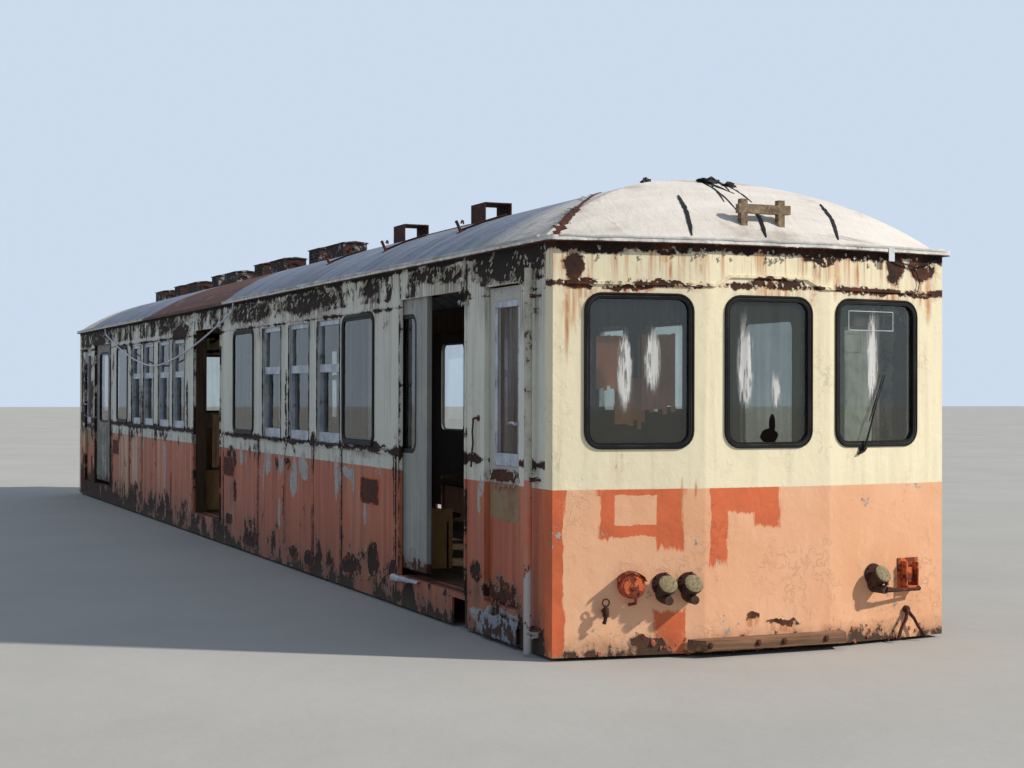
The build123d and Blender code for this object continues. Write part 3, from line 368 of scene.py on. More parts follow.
def body_paint(name, on_end):
    s = Shade(name)
    z = s.z
    flat = folded(s, on_end)
    along = s.split(flat)[0]
    big = s.noise(0.9, 3, 0.5, shift=2)
    mid = s.noise(4.2, 9, 0.66)
    fine = s.noise(42, 5, 0.65, shift=5)
    streak = s.noise(1.0, 6, 0.62, stretch=(11, 11, 0.75), shift=1)
    drip = s.noise(1.0, 4, 0.55, stretch=(34, 34, 1.6), shift=8)
    ragged = s.bent(flat, (3.0, 0.08), (11.0, 0.042))

    # sound paint, streaked with dirt; on the sides it starts from a greyer, bluer copy of the cream, painted shade for
    # the sides out of the sun
    sound = CREAM if on_end else CREAM_SIDE_SHADED
    cream = s.fade(big, 0.35, 0.65, sound, darker(sound, 0.93))
    cream = s.fade(streak, 0.48, 0.72, cream, CREAM_DIRT, 0.30 if on_end else 0.60)
    cream = s.fade(fine, 0.52, 0.75, cream, (0.92, 0.90, 0.80), 0.25)
    if on_end:
        old = s.nearest(OLD_ORANGE, s.bent(flat, (4.0, 0.030), (15.0, 0.010)), square=True)
        old = s.add(old, s.swing(s.noise(1.0, 4, stretch=(45, 45, 4), shift=17), 0.7))
        old = s.mul(s.step(s.x, 0.0, 0.1), s.step(old, 1.08, 0.94))
        low = s.fade(big, 0.36, 0.66, SALMON, SALMON_DARK)
        low = s.fade(s.noise(9, stretch=(1, 1, 0.4)), 0.50, 0.66, low, (0.93, 0.74, 0.60), 0.35)
        low = s.mix(old, low, s.fade(mid, 0.4, 0.62, ORANGE_OLD, darker(ORANGE_OLD, 0.80)))
    else:
        low = s.fade(streak, 0.38, 0.64, ORANGE, ORANGE_DARK)
        stripes = s.noise(1.0, stretch=(3.2, 3.2, 0.14), shift=21)
        pale = s.mul(s.step(stripes, 0.50, 0.62), s.step(along, 1.5, -3.0, 0.20, 0.90))
        low = s.mix(pale, low, (0.84, 0.68, 0.54))
        low = s.fade(drip, 0.54, 0.70, low, (0.70, 0.48, 0.39), 0.55)
        # the side's orange darkens and browns towards the foot
        low = s.fade(z, 0.60, 0.05, low, (0.50, 0.30, 0.25), 0.55)
    above = s.step(s.add(z, s.mul(s.add(fine, mid, -1.0), 0.006)), SPLIT - 0.002, SPLIT + 0.002)
    paint = s.mix(above, low, cream)

    # primer under the top coat
    if on_end:
        primer = s.mul(s.step(s.add(mid, s.mul(fine, 0.3)), 0.79, 0.80), s.flip(above))
    else:
        primer = s.nearest(PRIMER_PATCHES, s.bent(flat, (2.6, 0.10), (12.0, 0.035)))
        primer = s.step(s.add(primer, s.swing(mid, 0.75)), 1.02, 0.98)
        loose = s.noise(1.0, 7, 0.62, stretch=(5, 5, 1.6), shift=12)
        loose = s.add(loose, s.mul(s.band(z, 0.72, 1.00, 0.10), 0.09))
        primer = s.most(primer, s.mul(s.step(loose, 0.655, 0.665), s.step(z, 1.02, 0.98)))
        primer = s.mul(primer, s.step(s.noise(20, shift=15), 0.36, 0.40))
    paint = s.mix(primer, paint, s.fade(fine, 0.4, 0.6, PRIMER, darker(PRIMER, 0.72)))

    # how far each zone has rusted through: further to the rear, and along seams and doorways
    zones = END_ZONES if on_end else SIDE_ZONES
    zone = s.most(*[s.mul(s.band(z, low, high, soft), depth) for low, high, soft, depth in zones])
    if not on_end:
        zone = s.add(zone, s.step(along, 1.0, -7.0, 0.0, 0.070), s.step(along, -6.5, -7.0, 0.0, 0.05))
        lines = [(x + d, 0.62, 0.011, 0.46) for x in SEAMS for d in (-0.022, 0.022)]
        lines += [(x + d, 1.2, 0.014, 0.95) for pair in DOORWAYS for x, d in zip(pair, (-0.016, 0.016))]
        line = s.step(s.nearest(lines, s.bent(flat, (6.0, 0.010)), square=True), 1.5, 0.7)
        zone = s.add(zone, s.mul(line, s.step(big, 0.34, 0.54, 0.0, 0.205)))
    shares = (0.55, 0.30, 0.15) if on_end else (0.66, 0.19, 0.15)
    field = s.add(*[s.mul(v, share) for v, share in zip((mid, streak, fine), shares)], zone)
    table = END_PEELS if on_end else SIDE_PEELS
    patch = s.add(s.nearest(table, ragged), s.swing(mid, 1.125), s.swing(fine, 0.5))
    islets = s.step(s.noise(9, 7, 0.68, shift=20), 0.625, 0.610)
    bare = s.most(s.step(field, 0.640, 0.650), s.mul(s.step(patch, 1.02, 0.98), islets))
    # a lifted rim of old undercoat stands round the bare metal
    rim = s.most(s.step(field, 0.622, 0.630), s.mul(s.step(patch, 1.14, 1.08), islets))
    rim = s.mul(rim, s.flip(bare))
    undercoat = s.fade(mid, 0.45, 0.55, (0.60, 0.58, 0.53), (0.50, 0.40, 0.32))
    paint = s.mix(s.mul(rim, 0.75), paint, undercoat)

    # rust stains that run down from the bare metal
    below = s.step(s.add(s.nearest(table, ragged, drip=2.6), s.swing(drip, 2.4)), 1.15, 0.75)
    run = s.most(
        s.mul(below, s.step(drip, 0.40, 0.60, 0.0, 0.8)),
        s.mul(s.step(z, 2.02, 2.28), s.step(drip, 0.50, 0.64, 0.0, 0.85)),
        s.mul(s.step(field, 0.56, 0.645), s.step(drip, 0.42, 0.62, 0.0, 0.5)),
    )
    if on_end:
        long_run = s.add(s.nearest(END_RUNS, s.bent(flat, (7.0, 0.010))), s.swing(drip, 1.6))
        run = s.most(run, s.mul(s.step(long_run, 1.15, 0.35), s.step(mid, 0.36, 0.50, 0.0, 0.85)))
        stain = s.fade(mid, 0.48, 0.60, OCHRE, (0.68, 0.37, 0.18))
        rust = rust_colour(s, 0.25)
    else:
        run = s.most(run, s.mul(s.band(z, 0.58, 1.08, 0.20), s.step(drip, 0.56, 0.70, 0.0, 0.5)))
        stain = s.fade(mid, 0.48, 0.60, (0.42, 0.31, 0.24), (0.34, 0.22, 0.17))
        rust = s.mix(0.68, rust_colour(s, 0.25), (0.115, 0.090, 0.082))
    paint = s.mix(run, paint, stain)
    rust = s.mix(s.mul(s.step(z, 2.00, 2.26), s.step(mid, 0.34, 0.52), 0.85), rust, SOOT)
    colour = s.mix(bare, paint, rust)
    # earth splashed up
    colour = s.mix(s.mul(s.step(z, 0.15, 0.0), s.step(mid, 0.38, 0.60)), colour, (0.30, 0.245, 0.19))
    lumps = s.noise(8, 5, 0.55, shift=31, warp=0.6)
    blister = s.noise(30, 4, shift=34)
    # old coats crack and wrinkle along fine lines, in places
    fold = s.size(s.add(s.noise(13, 6, 0.62, shift=37, warp=0.5), -0.5))
    fold = s.mul(s.step(fold, 0.022, 0.0), s.step(s.noise(2.6, 4, shift=41), 0.50, 0.62))
    s.bump(
        (bare, -0.0018), (rim, 0.0014), (primer, -0.0005), (lumps, 0.0040), (blister, 0.0009),
        (fold, 0.0014), (fine, 0.0007), (s.mul(bare, fine), 0.003), (big, 0.010),
    )
    return s.finish(colour, s.step(bare, 0.0, 1.0, 0.58, 0.93))


def door_paint(name, two_tone):
    s = Shade(name)
    mid = s.noise(5, 8, 0.65)
    fine = s.noise(45, 5, 0.62, shift=4)
    streak = s.noise(1.0, 6, stretch=(13, 13, 0.8), shift=6)
    grey = s.fade(streak, 0.36, 0.66, (0.64, 0.64, 0.61), (0.52, 0.52, 0.50))
    grey = s.fade(mid, 0.50, 0.68, grey, (0.70, 0.69, 0.64), 0.6)
    # the rear leaf on the right has weathered almost black
    old_leaf = s.mul(s.step(s.x, -5.0, -5.5), s.step(s.y, 0.0, -0.1), s.step(mid, 0.34, 0.50, 0.0, 0.85))
    grey = s.mix(old_leaf, grey, s.fade(streak, 0.4, 0.62, (0.40, 0.38, 0.34), (0.24, 0.22, 0.20)))
    zone = s.step(s.z, 0.46, 0.27, 0.0, 0.20)
    if two_tone:
        low = s.fade(streak, 0.4, 0.65, (0.76, 0.42, 0.30), (0.64, 0.34, 0.25))
        tan = s.band(s.add(s.z, s.swing(mid, 0.16)), 0.72, 0.97, 0.006)
        low = s.mix(s.mul(tan, 0.9), low, s.fade(mid, 0.45, 0.6, (0.56, 0.49, 0.36), (0.50, 0.37, 0.26)))
        # the crew door's upper half takes in the sides' greyer cream, painted shade
        paint = s.fade(s.z, SPLIT - 0.002, SPLIT + 0.002, low, s.mix(0.4, grey, CREAM_SIDE_SHADED))
        zone = s.most(zone, s.mul(s.band(s.z, 0.95, 1.03, 0.02), 0.20))
    else:
        foot = s.add(s.z, s.swing(mid, 0.12))
        paint = s.fade(foot, 0.345, 0.315, grey, (0.20, 0.16, 0.13), 0.85)
    zone = s.most(zone, s.step(s.z, 2.02, 2.12, 0.0, 0.12))
    field = s.add(s.mul(mid, 0.6), s.mul(streak, 0.25), s.mul(fine, 0.15), zone)
    bare = s.step(field, 0.652, 0.662)
    rim = s.mul(s.step(field, 0.634, 0.642), s.flip(bare))
    paint = s.fade(field, 0.57, 0.66, paint, (0.38, 0.31, 0.25), 0.45)
    paint = s.mix(s.mul(rim, 0.6), paint, (0.66, 0.65, 0.60))
    colour = s.mix(bare, paint, rust_colour(s, 0.2))
    if not two_tone:
        # the face toward the saloon is dark brown
        inner = s.mix(mid, (0.24, 0.18, 0.14), (0.13, 0.105, 0.09))
        colour = s.fade(s.size(s.y), LEAF_IN + 0.004, LEAF_IN + 0.001, colour, inner)
    s.bump((bare, -0.0014), (rim, 0.0008), (fine, 0.0012), (mid, 0.006))
    return s.finish(colour, s.step(bare, 0.0, 1.0, 0.6, 0.92))


# The roof's bare stretch on the right, and smaller holes in its canvas: across, up, half wide, half high.
GONE_FRONT, GONE_REAR = 0.60, -2.90
ROOF_HOLES = [(-5.4, 0.9, 0.4, 0.15), (-7.0, -0.5, 0.3, 0.2), (5.2, 0.85, 0.3, 0.1)]
ROOF_BOARD = 0.055


def canvas(name):
    s = Shade(name)
    x, y = s.x, s.y
    mid = s.noise(3.2, 8, 0.64)
    fine = s.noise(60, 4, shift=3)
    down = s.noise(1.0, 6, 0.62, stretch=(7.5, 0.8, 1.2), shift=5)
    weave = s.noise(260, 2, 0.5)
    # The main roof's canvas is soiled grey, and its blue tint is painted sky-lit shade; the domes keep a warm fresh
    # white.
    old = s.fade(down, 0.38, 0.66, (0.55, 0.585, 0.65), (0.42, 0.45, 0.51))
    old = s.fade(mid, 0.52, 0.70, old, (0.68, 0.69, 0.70), 0.5)
    fresh = s.fade(down, 0.42, 0.70, (0.855, 0.83, 0.80), (0.79, 0.755, 0.715))
    fresh = s.fade(mid, 0.55, 0.72, fresh, (0.74, 0.69, 0.63), 0.5)
    white = s.fade(s.size(x), 7.15, 7.60, old, fresh)
    white = s.fade(s.add(s.mul(mid, 0.6), s.mul(down, 0.4)), 0.53, 0.64, white, (0.42, 0.40, 0.38), 0.32)
    soot = s.noise(1.0, stretch=(16, 1.0, 1.0), shift=44)
    white = s.fade(soot, 0.66, 0.72, white, (0.33, 0.31, 0.29), 0.5)
    # where the canvas has gone, the boards show
    ragged = s.swing(s.noise(2.2, 8, 0.68, shift=14), 1.3)
    front = s.step(s.add(x, ragged, s.mul(y, 0.5)), GONE_FRONT - 0.58, GONE_FRONT - 0.62)
    rear = s.step(s.add(x, ragged, s.mul(y, -1.0)), GONE_REAR + 1.05, GONE_REAR + 1.09)
    gone = s.mul(front, rear, s.step(s.add(y, s.mul(ragged, 0.6)), -0.05, -0.10))
    worn = s.add(x, ragged)
    left = s.mul(s.step(worn, 3.4, 3.36), s.step(worn, 1.9, 1.94), s.step(s.add(y, ragged), 0.55, 0.60))
    hole = s.nearest(ROOF_HOLES, s.bent(s.join(x, y), (1.4, 0.30), (6.0, 0.09)))
    gone = s.most(gone, left, s.step(s.add(hole, s.mul(ragged, 0.9)), 1.02, 0.97))
    wood = s.noise(1.0, stretch=(0.9, 12, 12), shift=7)
    wood = s.fade(wood, 0.4, 0.62, (0.30, 0.16, 0.13), (0.40, 0.225, 0.17))
    wood = s.fade(s.math("PINGPONG", y, ROOF_BOARD), 0.004, 0.0, wood, SOOT)
    wood = s.fade(mid, 0.60, 0.64, wood, (0.50, 0.48, 0.46), 0.8)
    lift = s.noise(7, 6, stretch=(0.5, 1.2, 1.0), shift=40, warp=0.8)
    s.bump((gone, -0.003), (lift, 0.009), (fine, 0.0012), (weave, 0.0004), (mid, 0.006))
    return s.finish(s.mix(gone, white, wood), 0.82)


def gutter_paint(name):
    s = Shade(name)
    mid = s.noise(9, 8, 0.66)
    white = s.fade(mid, 0.40, 0.62, (0.91, 0.90, 0.88), (0.74, 0.74, 0.73))
    place = s.add(s.x, s.swing(mid, 2.0))
    brown = s.mul(s.step(place, 0.75, 0.65), s.step(place, -3.35, -3.25), s.step(s.y, 0.1, 0.0))
    under = s.step(s.z, GUTTER_LOW + 0.0065, GUTTER_LOW + 0.0035, 0.0, 0.30)
    worn = s.step(s.add(mid, under), 0.655, 0.672)
    s.bump((s.noise(24, stretch=(1, 1, 2), shift=3), 0.006), (s.noise(70, 4), 0.001))
    return s.finish(s.mix(s.most(brown, worn), white, rust_colour(s, 0.2)), 0.7)


def rusty(name, dark=RUST_DARK, light=RUST, paint=None, cover=0.55, bright=0.3):
    s = Shade(name)
    mid = s.noise(11, 8, 0.68)
    fine = s.noise(80, 5, 0.65, shift=3)
    colour = s.fade(fine, 0.36, 0.64, dark, light)
    colour = s.fade(s.noise(16, 6, 0.7, shift=8), 0.52, 0.66, colour, RUST_BRIGHT, bright)
    if paint is None:
        s.bump((fine, 0.0016), (mid, 0.004))
    else:
        on = s.step(mid, cover, cover - 0.015)
        colour = s.mix(on, colour, s.fade(fine, 0.4, 0.6, paint, darker(paint, 0.8)))
        s.bump((on, 0.0008), (fine, 0.0012), (mid, 0.003))
    return s.finish(colour, 0.88, 0.0, 0.3)


def timber(name, light, dark, along=(1.2, 22, 22), rough=0.85):
    s = Shade(name)
    grain = s.noise(1.0, 7, 0.62, stretch=along, warp=1.1)
    fine = s.noise(1.0, 3, stretch=tuple(v * 4 for v in along), shift=2)
    colour = s.fade(grain, 0.36, 0.64, light, dark)
    colour = s.fade(s.noise(3, shift=7), 0.50, 0.70, colour, darker(dark, 0.55), 0.5)
    s.bump((grain, 0.003), (fine, 0.0015))
    return s.finish(colour, rough)


def rubber(name, light):
    s = Shade(name)
    fine, mid = s.noise(50), s.noise(6, 6)
    colour = s.fade(mid, 0.42, 0.68, (light / 2,) * 3, (light,) * 3)
    s.bump((fine, 0.0010), (mid, 0.002))
    return s.finish(colour, s.step(fine, 0.3, 0.7, 0.48, 0.68), spec=0.2)


def aluminium(name):
    s = Shade(name)
    mid = s.noise(6, 7, 0.65)
    colour = s.fade(mid, 0.40, 0.66, (0.74, 0.76, 0.80), (0.56, 0.58, 0.62))
    colour = s.fade(s.noise(14, 7, 0.7, shift=5), 0.54, 0.64, colour, (0.34, 0.30, 0.26), 0.7)
    s.bump((s.noise(1.0, 4, stretch=(30, 30, 150)), 0.0005), (mid, 0.002))
    return s.finish(colour, 0.45, 0.35, 0.5)


# Soft pale smears on the end panes, and the scorched spot at the foot of the middle one:
# across, up, half wide, half high.
SMEARS = [
    (-0.88, 1.60, 0.045, 0.20), (-0.72, 1.66, 0.050, 0.17), (-0.15, 1.64, 0.050, 0.25),
    (0.05, 1.50, 0.030, 0.10), (0.745, 1.68, 0.042, 0.26),
]
SCORCHED = [(0.010, 1.235, 0.060, 0.040), (0.030, 1.300, 0.020, 0.060)]
GLASS_INDEX = 1.95


def glass(name, tint, dust, dust_colour, fixed=False):
    s = Shade(name)
    film = s.noise(2.2, 8, 0.66, stretch=(1, 1, 0.6), shift=3)
    runs = s.noise(1.0, stretch=(30, 30, 1.1), shift=9)
    amount = s.add(s.mul(film, 0.7), s.mul(runs, 0.5), s.mul(s.noise(90, 3), 0.25), -0.28)
    amount = s.mul(amount, dust)
    through = 0.5
    if fixed:
        # the left side's panes are clean enough to see daylight through, the middle end panes dirtiest
        ends = s.step(s.size(s.x), GLASS_FROM, GLASS_FROM + 0.05)
        front = s.step(s.x, GLASS_FROM, GLASS_FROM + 0.05)
        clean = s.step(s.size(s.x), GLASS_FROM, GLASS_FROM + 0.05, 0.30, 1.0)
        amount = s.mul(amount, s.most(clean, s.step(s.y, 0.0, -0.1)))
        amount = s.add(amount, s.mul(s.step(s.size(s.y), 0.36, 0.33), ends, 0.22))
        flat = folded(s, True)
        brushed = s.noise(1.0, 4, stretch=(55, 55, 5), shift=2)
        wipe = s.add(s.nearest(SMEARS, s.bent(flat, (5.0, 0.02))), s.swing(brushed, 2.0))
        wipe = s.mul(s.step(wipe, 1.15, 0.80), s.step(brushed, 0.34, 0.46), front)
        amount = s.most(amount, s.mul(wipe, 0.93))
        dust_colour = s.mix(wipe, dust_colour, (0.86, 0.86, 0.85))
        through = s.mul(s.flip(wipe), 0.5)
    tone = s.fade(runs, 0.4, 0.65, dust_colour, s.mix(0.3, dust_colour, (0.0, 0.0, 0.0)))
    # only the face a ray enters by reflects: the far face would mirror everything seen at a slant
    entering = s.flip(s.new("NewGeometry").outputs["Backfacing"])
    shine = s.mul(s.new("Fresnel", GLASS_INDEX).outputs[0], entering)
    clear = s.blend(shine, s.new("BsdfTransparent", tint), s.new("BsdfGlossy", None, 0.03))
    dusty = s.blend(through, s.new("BsdfDiffuse", tone), s.new("BsdfTranslucent", tone))
    last = s.blend(s.most(amount, 0.0), clear, dusty)
    if fixed:
        spot = s.add(s.nearest(SCORCHED, flat), s.swing(s.noise(40, 3, 0.5), 0.5))
        last = s.blend(s.mul(s.step(spot, 1.02, 0.98), front), last, s.new("BsdfDiffuse", darker(SOOT, 0.8)))
    s.put(s.tree.nodes["Material Output"].inputs[0], last.outputs[0])
    return s.mat


def cloth(name, light, dark):
    s = Shade(name)
    mid = s.noise(5, 7, 0.65)
    colour = s.fade(mid, 0.38, 0.66, light, dark)
    colour = s.fade(s.noise(1.3, 6, shift=6), 0.52, 0.66, colour, darker(dark, 0.8), 0.6)
    s.bump((s.noise(180, 3), 0.0008), (mid, 0.010))
    return s.finish(colour, 0.9)


def plastic(name, light, dark):
    s = Shade(name)
    s.bump((s.noise(120, 3), 0.0004))
    return s.finish(s.fade(s.noise(12, 6, 0.65), 0.42, 0.68, light, dark), 0.5)


def pipe_paint(name):
    s = Shade(name)
    mid = s.noise(12, 8, 0.68)
    fine = s.noise(60)
    cream = s.fade(mid, 0.40, 0.65, (0.76, 0.75, 0.69), (0.62, 0.61, 0.56))
    orange = s.fade(mid, 0.40, 0.62, (0.78, 0.44, 0.32), (0.72, 0.52, 0.44))
    paint = s.fade(s.z, SPLIT + 0.042, SPLIT + 0.049, orange, cream)
    paint = s.fade(s.add(s.z, s.swing(mid, 0.30)), 0.50, 0.47, paint, (0.68, 0.67, 0.67))
    bare = s.step(s.add(mid, s.mul(fine, 0.2)), 0.700, 0.715)
    s.bump((bare, -0.001), (fine, 0.001))
    return s.finish(s.mix(bare, paint, rust_colour(s, 0.2)), 0.6)


# The plain drum, painted over in the body's orange: across, up, half wide, half high.
DRUM = [(-0.86, 0.41, 0.085, 0.085)]


def socket_paint(name):
    s = Shade(name)
    mid = s.noise(16, 8, 0.68)
    fine = s.noise(90)
    dark = s.fade(fine, 0.38, 0.62, (0.15, 0.125, 0.11), (0.32, 0.22, 0.17))
    orange = s.fade(mid, 0.42, 0.58, (0.72, 0.32, 0.19), (0.46, 0.22, 0.15))
    colour = s.fade(s.nearest(DRUM, folded(s, True), square=True), 1.02, 0.99, dark, orange)
    colour = s.fade(mid, 0.57, 0.60, colour, rust_colour(s, 0.5), 0.85)
    s.bump((fine, 0.0014), (mid, 0.003))
    return s.finish(colour, 0.75)


UPRIGHT, PLAIN, ACROSS = (16, 16, 1.0), (3, 3, 1.0), (22, 1.2, 22)
M = {
    "end": body_paint("end_paint", True),
    "side": body_paint("side_paint", False),
    "door": door_paint("door_paint", False),
    "crew": door_paint("crew_paint", True),
    "canvas": canvas("canvas"),
    "gutter": gutter_paint("gutter_paint"),
    "rubber": rubber("rubber", 0.095),
    "filler": rubber("rubber_filler", 0.27),
    "tar": rubber("tar", 0.11),
    "aluminium": aluminium("aluminium"),
    "glass": glass("glass_pane", (0.955, 0.965, 0.950), 0.40, (0.36, 0.38, 0.31), fixed=True),
    "glass_door": glass("glass_door", (0.97, 0.98, 0.98), 0.20, (0.50, 0.51, 0.50)),
    "glass_crew": glass("glass_crew", (0.93, 0.93, 0.92), 1.75, (0.58, 0.53, 0.49)),
    "rust": rusty("rust"),
    "plate": rusty("frame_rust", (0.17, 0.105, 0.095), (0.30, 0.165, 0.14)),
    "vent": rusty("vent_sheet", (0.14, 0.11, 0.10), (0.26, 0.18, 0.16), (0.52, 0.53, 0.54), 0.44, 0.08),
    "ochre": rusty("old_orange_steel", (0.34, 0.17, 0.13), (0.55, 0.26, 0.17), ORANGE_OLD, 0.50),
    "grey_timber": timber("grey_timber", (0.60, 0.53, 0.42), (0.38, 0.30, 0.23)),
    "cross_timber": timber("cross_timber", (0.58, 0.44, 0.33), (0.38, 0.27, 0.20), ACROSS),
    "floor": timber("floor_boards", (0.38, 0.28, 0.20), (0.21, 0.15, 0.11)),
    "lining": timber("lining_boards", (0.36, 0.27, 0.19), (0.22, 0.155, 0.115), UPRIGHT),
    "board": timber("pane_board", (0.92, 0.62, 0.43), (0.76, 0.48, 0.31), PLAIN, 0.7),
    # The plinths' tan is brightened because little light reaches inside: tan wood with painted light.
    "panel": timber("tan_panel", (0.70, 0.48, 0.33), (0.54, 0.35, 0.24), PLAIN, 0.7),
    # The bench ends' tan is brightened to stand in for light falling inside: their own tan wood with painted light.
    "tan": timber("tan_board", (0.95, 0.76, 0.50), (0.80, 0.58, 0.36), PLAIN, 0.7),
    "cantrail": timber("cantrail_timber", (0.34, 0.26, 0.20), (0.20, 0.15, 0.11)),
    "seat": cloth("seat_cloth", (0.30, 0.17, 0.14), (0.19, 0.12, 0.105)),
    "pipe": pipe_paint("pipe_paint"),
    "strip": plastic("strip_white", (0.84, 0.84, 0.87), (0.68, 0.68, 0.74)),
    "socket": socket_paint("socket_paint"),
    "cap": rusty("cap_metal", (0.42, 0.37, 0.28), (0.60, 0.55, 0.42), bright=0.10),
    "steel": rusty("underframe_rust"),
    "cream_flake": rusty("cream_flake", (0.55, 0.53, 0.46), (0.80, 0.78, 0.70), bright=0.06),
    "orange_flake": rusty("orange_flake", (0.46, 0.25, 0.19), (0.66, 0.37, 0.28), bright=0.10),
    "canvas_flake": cloth("canvas_flake", (0.84, 0.83, 0.81), (0.60, 0.59, 0.57)),
    "white_board": plastic("white_board", (0.80, 0.82, 0.82), (0.64, 0.66, 0.66)),
    "primer": rusty("primer_sheet", (0.20, 0.14, 0.12), (0.34, 0.26, 0.22), (0.62, 0.63, 0.66), 0.52, 0.12),
}
LOOKS = {
    "underframe": "steel", "floor_deck": "floor", "door_steps": "side", "front_end": "end", "rear_end": "end",
    "cab_side_walls": "side", "side_walls": "side", "window_posts": "lining", "inner_linings": "lining",
    "letterboards": "side", "cantrails": "cantrail", "roof_main": "canvas", "roof_domes": "canvas",
    "gutter": "gutter", "window_rubbers": "rubber", "sash_frames": "aluminium", "window_glass": "glass",
    "door_tracks": "rust", "roof_ventilators": "vent", "roof_box_frames": "plate", "bench_seats": "lining",
    "roof_timbers": "grey_timber", "jumper_sockets": "socket", "buffer_timbers": "cross_timber",
    "downpipes": "pipe", "cab_partitions": "lining", "hanging_strip": "strip",
}
DOOR_LOOKS = {
    "sliding_door_glass": "glass_door", "sliding_door": "door", "crew_door_glass": "glass_crew", "crew_door": "crew",
}
for name, node in nodes.items():
    look = LOOKS.get(name) or next(look for start, look in DOOR_LOOKS.items() if name.startswith(start))
    node.data.materials.clear()
    node.data.materials.append(M[look])


def spread(low, high, count):
    # Evenly spaced numbers from low to high, both of them included.
    return [between(low, high, i / count) for i in range(count + 1)]


def part_way(a, b, share, second=None):
    # A point between two flat ones; the second share, where given, is for the second coordinate.
    return between(a[0], b[0], share), between(a[1], b[1], share if second is None else second)


def circle(centre, side, other, radius, angles):
    return [centre + side * (radius * math.cos(t)) + other * (radius * math.sin(t)) for t in angles]


def crosswise(way):
    return way.cross(UP if abs(way.z) < 0.9 else Vector((0, 1, 0)))


def place(name, data):
    obj = bpy.data.objects.new(name, data)
    bpy.context.scene.collection.objects.link(obj)
    return obj


# Trim is built as meshes from rings of points.
class Piece:
    def __init__(self):
        self.verts, self.faces = [], []

    def loft(self, rings, loop=False):
        start, size, count = len(self.verts), len(rings[0]), len(rings)
        for ring in rings:
            self.verts += [Vector(p) for p in ring]
        for i in range(count if loop else count - 1):
            a, b = start + i * size, start + (i + 1) % count * size
            self.faces += [(a + j, a + (j + 1) % size, b + (j + 1) % size, b + j) for j in range(size)]
        if not loop:
            self.faces.append(tuple(range(start + size - 1, start - 1, -1)))
            self.faces.append(tuple(range(start + (count - 1) * size, start + count * size)))

    def tube(self, points, radius, sides=8, loop=False, lean=None):
        # radius is one number or one for each point; lean is the way its first ring faces.
        points = [Vector(p) for p in points]
        count, side, rings = len(points), lean, []
        for i, point in enumerate(points):
            ahead = points[(i + 1) % count] if loop or i + 1 < count else point
            behind = points[i - 1] if loop or i > 0 else point
            way = (ahead - behind).normalized()
            side = crosswise(way) if side is None else side
            side = (side - way * side.dot(way)).normalized()
            r = radius[i] if isinstance(radius, (list, tuple)) else radius
            rings.append(circle(point, side, way.cross(side), r, turns(sides, 0.5)))
        self.loft(rings, loop)

    def lathe(self, foot, way, profile, sides=14):
        # profile is radius and height pairs, from the foot along the way.
        way = Vector(way).normalized()
        side = crosswise(way).normalized()
        self.loft([circle(foot + way * h, side, way.cross(side), r, turns(sides)) for r, h in profile])

    def slab(self, wall, low, high, bottom, top, inner, outer):
        edges = ((low, bottom), (high, bottom), (high, top), (low, top))
        self.loft([[wall.at(a, z, out) for a, z in edges] for out in (inner, outer)])

    def sheet(self, grid):
        # A rectangular grid of points, one face thick: a modifier gives it its thickness.
        start, wide = len(self.verts), len(grid[0])
        for row in grid:
            self.verts += [Vector(p) for p in row]
        for i in range(len(grid) - 1):
            for j in range(wide - 1):
                a = start + i * wide + j
                self.faces.append((a, a + 1, a + wide + 1, a + wide))

    def twice(self):
        # The same again, half a turn round the car.
        size = len(self.verts)
        self.verts += [HALF_TURN @ v for v in self.verts]
        self.faces += [tuple(size + i for i in face) for face in self.faces]
        return self

    def make(self, name, look, body="car_body", bevel=0.0, sheet=0.0, sharp=35):
        mesh = bpy.data.meshes.new(name)
        mesh.from_pydata(self.verts, [], self.faces)
        obj = place(name, mesh)
        mesh.materials.append(M[look])
        if not sheet:
            work = bmesh.new()
            work.from_mesh(mesh)
            bmesh.ops.recalc_face_normals(work, faces=work.faces)
            work.to_mesh(mesh)
            work.free()
        mesh.polygons.foreach_set("use_smooth", [True] * len(mesh.polygons))
        mesh.set_sharp_from_angle(angle=math.radians(sharp))
        if sheet:
            obj.modifiers.new("thick", "SOLIDIFY").thickness = sheet
        if bevel:
            soft = obj.modifiers.new("edge", "BEVEL")
            soft.width, soft.segments, soft.limit_method = bevel, 2, "ANGLE"
        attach(obj, body)
        return obj


def slabs(wall, *bars):
    piece = Piece()
    for bar in bars:
        piece.slab(wall, *bar)
    return piece


def one_sheet(grid):
    piece = Piece()
    piece.sheet(grid)
    return piece


def rounded(wall, edges, radius, inset, out, steps=6):
    # A rounded rectangle on a wall, this far inside the given edges.
    low, high, bottom, top = edges[0] + inset, edges[1] - inset, edges[2] + inset, edges[3] - inset
    r = max(radius - inset, 0.004)
    bends = [(high - r, bottom + r, -90), (high - r, top - r, 0), (low + r, top - r, 90), (low + r, bottom + r, 180)]
    spots = [(a, z, math.radians(start + 90 * i / steps)) for a, z, start in bends for i in range(steps + 1)]
    return [wall.at(a + r * math.cos(t), z + r * math.sin(t), out) for a, z, t in spots]


END_WINDOW_RADIUS, SIDE_WINDOW_RADIUS, LEAF_WINDOW_RADIUS = 0.095, 0.075, 0.070
SMALLEST_SASH = 0.3


